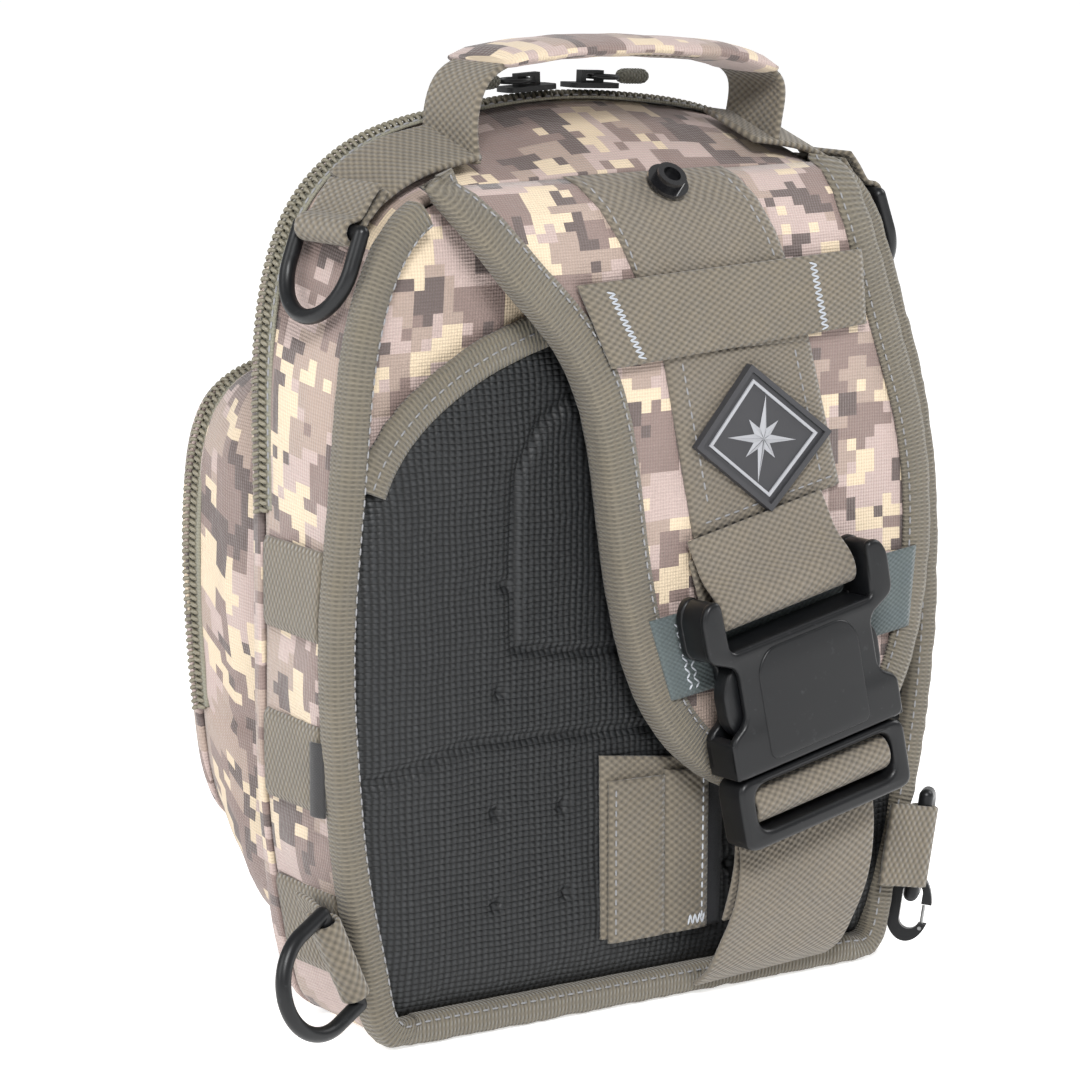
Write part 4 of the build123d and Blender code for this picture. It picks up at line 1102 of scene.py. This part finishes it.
def patch_badge():
    """Diamond of moulded rubber: rim, raised line and a plain eight-point compass rose."""
    corners = np.array([(22.4, 185.2), (2.8, 163.1), (30.1, 142.6), (51.9, 163.7)])
    middle = corners.mean(0)
    back = Y_STRAP_FACE - 1.8

    def plate(scale, low, high, name, material, bevel=0.5):
        verts, faces = [], []
        for s, y in ((scale, low), (scale, high + bevel), (scale - 0.02, high)):
            verts += [(*(middle + (c - middle) * s)[:1], y, (middle + (c - middle) * s)[1]) for c in corners]
        faces = [(0, 1, 2, 3), (8, 9, 10, 11)]
        for k in range(4):
            j = (k + 1) % 4
            faces += [(k, j, 4 + j, 4 + k), (4 + k, 4 + j, 8 + j, 8 + k)]
        return outside_out(mesh_object(name, verts, faces, None, material, False))

    base = plate(1.0, back, back - 1.5, "badge_base", RUBBER)
    finish_piece(base, "rubber", "bag", "strap_patch")

    def frame_line(outer, inner, name, material, top):
        verts, faces = [], []
        for s, y in ((outer, back - 1.0), (outer, top), (inner, top), (inner, back - 1.0)):
            verts += [((middle + (c - middle) * s)[0], y, (middle + (c - middle) * s)[1]) for c in corners]
        for k in range(4):
            j = (k + 1) % 4
            for r in range(4):
                q = (r + 1) % 4
                faces.append((4 * r + k, 4 * r + j, 4 * q + j, 4 * q + k))
        return outside_out(mesh_object(name, verts, faces, None, material, False))

    finish_piece(frame_line(1.0, 0.90, "badge_rim", RUBBER, back - 2.4), "rubber", "bag")
    finish_piece(frame_line(0.80, 0.745, "badge_line", RUBBER_LINE, back - 2.0), "rubber", "bag")
    verts, faces = [], []
    turn = radians(-6)
    top = back - 2.1
    for k in range(8):
        a = turn + k * pi / 4
        far = 12.5 if k % 2 == 0 else 7.6
        tip = (cos(a) * far, sin(a) * far)
        for w in (-1, 1):
            b = a + w * pi / 8
            foot = (cos(b) * 3.2, sin(b) * 3.2)
            base_index = len(verts)
            peak = top - (0.5 if w > 0 else 0.2)
            for (px, pz), y in ((tip, back - 1.6), (foot, back - 1.6), ((0, 0), peak)):
                verts.append((middle[0] + px, y, middle[1] + pz))
            faces.append((base_index, base_index + 1, base_index + 2))
    rose = outside_out(mesh_object("badge_rose", verts, faces, None, RUBBER_LINE, False))
    finish_piece(rose, "rubber", "bag")


BUCKLE_ORIGIN = np.array((35.7, -46.6, 90.8))
BUCKLE_TILT = radians(12)


def on_buckle(x, y, z):
    """A point given in the buckle's frame: across, up the strap, out from the pad."""
    c, s = cos(BUCKLE_TILT), sin(BUCKLE_TILT)
    return BUCKLE_ORIGIN + np.array((x * c - y * s, -z, x * s + y * c))


def buckle_webs():
    across = (cos(BUCKLE_TILT), 0, sin(BUCKLE_TILT))
    path = [(52, -1.0), (46.5, 0.9), (40, 3.6), (34.5, 8.2), (30.5, 9.4), (27.2, 8.2), (26.7, 3.4),
            (29.5, 1.3), (38, -0.6), (46, -1.6)]
    obj = webbing("buckle_end_web", [on_buckle(0, y, z) for y, z in path], across, 49.5, WIDE, 1.5, 60)
    finish_piece(obj, "webbing", "bag", "strap_end_loop")
    path = [(-64, -3.4), (-50, -1.6), (-36, -1.3), (-29, -1.2), (-23.2, 1.0), (-21.6, 6), (-22.4, 9.8),
            (-25.4, 11.4), (-28.6, 10.8), (-31, 7.6), (-31.4, 3.2), (-33.4, 0.6), (-38.5, 0.3), (-50, 1.6),
            (-62, 0.6), (-72, -3.6), (-79.5, -8.4), (-84.5, -15)]
    # Below the buckle the webbing hangs straight down rather than along the strap's slant.
    hang = [on_buckle(-14.0 * float(smooth_step(-y, 34, 88)), y, z) for y, z in path]
    tilt = BUCKLE_TILT * (1 - 0.75 * smooth_step(-curve(hang, 150)[:, 2], -62, -20))
    sides = np.stack([np.cos(tilt), np.zeros(150), np.sin(tilt)], 1)
    obj = webbing("sling_lower_web", hang, sides, 50, WIDE, 1.5, 150)
    start, end = on_buckle(0, -80, 0), on_buckle(0, -20, 0)
    bent_piece(obj, "webbing", "bag", "buckle_plug", start, end, "lower_strap")


def rounded(points, radius):
    """An outline's corners, each turned into a short arc."""
    points = [np.array(p, float) for p in points]
    out = []
    for k, corner in enumerate(points):
        before, after = points[k - 1] - corner, points[(k + 1) % len(points)] - corner
        a, b = np.linalg.norm(before), np.linalg.norm(after)
        start, end = corner + before / a * min(radius, a * 0.45), corner + after / b * min(radius, b * 0.45)
        for t in np.linspace(0, 1, 7):
            out.append((1 - t) ** 2 * start + 2 * t * (1 - t) * corner + t * t * end)
    return out


def moulded(name, outline, low, high, bevel, radius, body, replaced=(), holes=(), material=None):
    """A flat moulding in the buckle's frame with rounded corners and edges."""
    data = bpy.data.curves.new(name, "CURVE")
    data.dimensions, data.fill_mode = "2D", "BOTH"
    data.extrude, data.bevel_depth, data.bevel_resolution = (high - low) / 2 - bevel, bevel, 3
    data.offset = -bevel
    for points in (outline, *holes):
        spline = data.splines.new("POLY")
        corners = rounded(points, radius)
        spline.points.add(len(corners) - 1)
        for point, (x, y) in zip(spline.points, corners):
            point.co = (x, y, 0, 1)
        spline.use_cyclic_u = True
    drawn = bpy.data.objects.new(name, data)
    bpy.context.scene.collection.objects.link(drawn)
    bpy.context.view_layer.update()
    made = bpy.data.meshes.new_from_object(drawn.evaluated_get(bpy.context.evaluated_depsgraph_get()))
    verts = [on_buckle(v.co.x, v.co.y, v.co.z + (low + high) / 2) for v in made.vertices]
    faces = [tuple(p.vertices) for p in made.polygons]
    bpy.data.objects.remove(drawn)
    bpy.data.curves.remove(data)
    bpy.data.meshes.remove(made)
    obj = mesh_object(name, verts, faces, None, material or PLASTIC, True)
    work = bmesh.new()
    work.from_mesh(obj.data)
    bmesh.ops.remove_doubles(work, verts=work.verts, dist=0.00001)
    bmesh.ops.recalc_face_normals(work, faces=work.faces)
    for edge in work.edges:
        edge.smooth = len(edge.link_faces) == 2 and edge.calc_face_angle(0) < radians(40)
    work.to_mesh(obj.data)
    work.free()
    return finish_piece(obj, "hardware", body, *replaced)


def both_sides(half):
    return half + [(-x, y) for x, y in reversed(half)]


def buckle():
    shell = both_sides([(31, -16), (31, -4), (24.5, 0), (24.5, 16), (34, 20.5), (34.2, 33), (31.5, 37.3),
                        (27, 37.3), (26.4, 21)])
    panel = both_sides([(18.5, -13.5), (18.5, 14), (14, 19)])
    block = [(-26, 17.2), (26, 17.2), (26, 21.5), (-26, 21.5)]
    moulded("buckle_shell_front", shell, 10.6, 13.5, 1.2, 3.0, "bag", ("buckle_female",))
    moulded("buckle_shell_back", shell, 0.0, 3.2, 0.9, 3.0, "bag")
    moulded("buckle_shell_panel", panel, 12.4, 14.0, 0.7, 3.0, "bag")
    moulded("buckle_shell_block", block, 0.6, 13.2, 1.0, 1.2, "bag")
    moulded("buckle_web_bar", [(-28, 28.9), (28, 28.9), (28, 32.6), (-28, 32.6)], 3.4, 7.4, 1.4, 0.5, "bag")
    for sign in (-1, 1):
        ear = ((25.6, 17.4), (30, 18.8), (33.8, 21.5), (34.0, 32.6), (31.2, 37), (27.2, 37))
        ear = [(sign * x, y) for x, y in ear]
        moulded(f"buckle_ear_{sign}", ear, 0.2, 13.3, 1.5, 2.4, "bag")
        wall = [(sign * x, y) for x, y in ((28.4, -15.8), (31, -15.8), (31, -5), (28.4, -4))]
        moulded(f"buckle_wall_{sign}", wall, 0.4, 13.1, 0.6, 0.8, "bag")
        side = "right" if sign > 0 else "left"
        prong = ((15.5, -15.8), (22, -15.8), (22, -6), (25.6, -5), (28.6, 0), (28.8, 9),
                 (25.4, 15.4), (19, 16.5), (17.5, 6), (15.5, -6))
        prong, node = [(sign * x, y) for x, y in prong], f"buckle_prong_{side}"
        moulded(f"{node}_pad", prong, 4.0, 10.2, 1.2, 2.6, f"prong_{side}", (node,))
    frame_outline = [(-30.8, -38), (30.8, -38), (31, -30), (31, -16.8), (-31, -16.8), (-31, -30)]
    hole = [(-25.6, -33.2), (25.6, -33.2), (25.6, -19.4), (-25.6, -19.4)]
    moulded("buckle_plug_frame", frame_outline, 1.4, 12.8, 1.6, 5.0, "buckle_plug", ("buckle_male",), (hole,))
    bar = [(-27, -27.6), (27, -27.6), (27, -24.4), (-27, -24.4)]
    moulded("buckle_plug_bar", bar, 4.0, 8.4, 1.2, 0.5, "buckle_plug")
    moulded("buckle_plug_guide", [(-6, -18), (6, -18), (6, 13), (-6, 13)], 4.2, 9.8, 0.8, 2.0, "buckle_plug")


def stow_tab():
    y = Y_BACK - 8.4

    def layer(name, corners, depth, material, thick, body, *replaced):
        finish_piece(patch(name, corners, lambda x, z: depth, material, thick), "webbing", body, *replaced)

    layer("stow_tab_base", [(-18, 75), (21, 70), (20.5, 21.5), (-17.5, 21.5)], y, KHAKI, 1.4, "bag", "stow_tab")
    layer("stow_tab_right", [(4.2, 68.5), (20, 66.5), (19.5, 20.5), (4.2, 20.5)], y - 1.5, KHAKI, 1.5, "bag")
    layer("stow_tab_flap", [(-16, 67.5), (3.9, 67), (3.9, 20.5), (-16, 20.5)], y - 1.7, KHAKI, 1.5,
          "tab_leaf", "stow_tab_leaf")
    layer("stow_tab_hook_tape", [(20, 67), (26.5, 66), (25, 20.5), (19.5, 20.5)], y - 0.3, HOOK_TAPE, 1.3, "bag")
    face = y - 3.1
    thread.row(("bag", "pale"), [(17.5, face, 65), (17, face, 23)], TO_BACK, 2.0, 0.7)
    thread.zigzag(("bag", "pale"), (12, face, 23.5), (18, face, 23.5), UP, TO_BACK, 3.2, 0.8)
    thread.row(("tab_leaf", "grey"), [(-14.2, face - 0.2, 65), (-14.2, face - 0.2, 22)], TO_BACK, 2.0, 0.8)


def inside():
    for node, material in (("inner_organizer", LINING), ("base_board", BOARD)):
        set_material(node, material)


def set_material(node, material):
    data = nodes[node].data
    if not data.materials:
        data.materials.append(material)
    for k in range(len(data.materials)):
        data.materials[k] = material


def pull_grips():
    """Ribbed cord grips on the zip pulls."""
    for node, body in (("main_pull_grip_left", "pull_left"), ("main_pull_grip_right", "pull_right"),
                       ("pocket_pull_grip", "pocket_pull")):
        low, high = (np.array(v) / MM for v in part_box(node))
        centre = (low + high) / 2
        mesh = nodes[node].data
        co = np.array([v.co for v in mesh.vertices]) / MM
        _, _, axes = np.linalg.svd(co - co.mean(0), full_matrices=False)
        d = axes[0] * (1 if axes[0][0] > 0 else -1)
        rows, uv = [], []
        side = np.cross(d, (0, 1, 0))
        for s in np.linspace(-1, 1, 45):
            radius = 2.15 * (1 - 0.55 * abs(s) ** 6) + 0.16 * sin(s * 34)
            ring = [centre + d * s * 5.4 + (np.array((0, 1.0, 0)) * cos(a) + side * sin(a)) * radius
                    for a in np.linspace(0, 2 * pi, 17)[:-1]]
            rows.append(ring)
            uv.append([(j * 0.85, s * 5.4) for j in range(17)])
        obj = skin(f"{node}_cord", rows, uv, CORD, True, False, (True, True))
        finish_piece(obj, "cord", body, node)


def hardware():
    rings = ["top_ring_left", "top_ring_right", "bottom_ring_left", "bottom_ring_right"]
    sliders = ["main_slider_left", "main_slider_right", "pocket_slider"]
    loops = ["main_pull_loop_left", "main_pull_loop_right", "pocket_pull_loop"]
    for node in rings + ["snap_hook"]:
        set_material(node, PLASTIC)
    for node in sliders + loops:
        set_material(node, DARK_PLASTIC)
    for node in ("snap_hook_gate", "snap_hook_pin"):
        set_material(node, STEEL)
    set_material("strap_snap_stud", STUD)
    for node in ["snap_hook"] + sliders:
        bevel = nodes[node].modifiers.new("soft_edges", "BEVEL")
        bevel.width = 0.0003
        bevel.segments = 3
        bevel.limit_method = "ANGLE"
        bevel.angle_limit = radians(35)
        bevel.harden_normals = False
        bevel.use_clamp_overlap = True


# ------------------------------------------------------------------ set, light and camera
FLOOR_HALF = 6000
FLOOR_GLOW = 0.62
SKY_AS_LAMP, SKY_EXTRA_TO_CAMERA = 0.4, 0.62


def studio():
    corners = [(x * FLOOR_HALF, y * FLOOR_HALF, 0) for x, y in ((-1, -1), (1, -1), (1, 1), (-1, 1))]
    floor = mesh_object("floor", corners, [(0, 1, 2, 3)])
    g = Nodes("studio_floor", 0.9)
    g.shader.inputs["Base Color"].default_value = rgb(252, 252, 252)
    g.shader.inputs["Emission Color"].default_value = (1, 1, 1, 1)
    g.shader.inputs["Emission Strength"].default_value = FLOOR_GLOW
    floor.data.materials.append(g.material)
    world = bpy.data.worlds.new("studio")
    bpy.context.scene.world = world
    world.use_nodes = True
    back = world.node_tree.nodes["Background"]
    back.inputs["Color"].default_value = (1.0, 1.0, 1.0, 1)
    # The sky is brighter to the camera than it is as a lamp.
    path = world.node_tree.nodes.new("ShaderNodeLightPath")
    level = world.node_tree.nodes.new("ShaderNodeMath")
    level.operation = "MULTIPLY_ADD"
    level.inputs[1].default_value, level.inputs[2].default_value = SKY_EXTRA_TO_CAMERA, SKY_AS_LAMP
    world.node_tree.links.new(path.outputs["Is Camera Ray"], level.inputs[0])
    world.node_tree.links.new(level.outputs[0], back.inputs["Strength"])
    for name, spot, aim, size, power in (
        ("key", (-900, -1500, 1500), (0, -10, 120), 600, 50),
        ("fill", (-1700, 300, 900), (0, 0, 120), 1100, 16),
        ("rim", (1300, -300, 1100), (0, 0, 120), 700, 12),
    ):
        light = bpy.data.lights.new(name, "AREA")
        light.size = size * MM
        light.energy = power
        obj = bpy.data.objects.new(name, light)
        bpy.context.scene.collection.objects.link(obj)
        obj.location = Vector(spot) * MM
        obj.rotation_euler = (Vector(aim) - Vector(spot)).to_track_quat("-Z", "Y").to_euler()


CAMERA_SPOT = (-842.8, -1116.2, 365.1)
CAMERA_LENS, SENSOR_WIDTH = 164.27, 36.0
CAMERA_AZIMUTH, CAMERA_ELEVATION = -36.5, 9.5


def camera():
    data = bpy.data.cameras.new("camera")
    data.lens, data.sensor_width = CAMERA_LENS, SENSOR_WIDTH
    data.clip_start, data.clip_end = 0.05, 50
    obj = bpy.data.objects.new("camera", data)
    bpy.context.scene.collection.objects.link(obj)
    turn, rise = radians(CAMERA_AZIMUTH), radians(CAMERA_ELEVATION)
    back = Vector((sin(turn) * cos(rise), -cos(turn) * cos(rise), sin(rise)))
    right = (-back).cross(Vector((0, 0, 1))).normalized()
    up = right.cross(-back)
    spin = Matrix((right, up, back)).transposed()
    obj.matrix_world = Matrix.Translation(Vector(CAMERA_SPOT) * MM) @ spin.to_4x4()
    bpy.context.scene.camera = obj
    settings = bpy.context.scene.view_settings
    settings.view_transform = "Standard"
    settings.look = "None"


camera()
main_gusset()
main_front()
back_panel()
mesh_pad()
back_bindings()
main_zip()
pocket_zip()
front_pocket()
sides()
ring_tabs()
handle()
strap()
patch_badge()
buckle_webs()
buckle()
stow_tab()
inside()
pull_grips()
hardware()
thread.finish(THREADS)
studio()
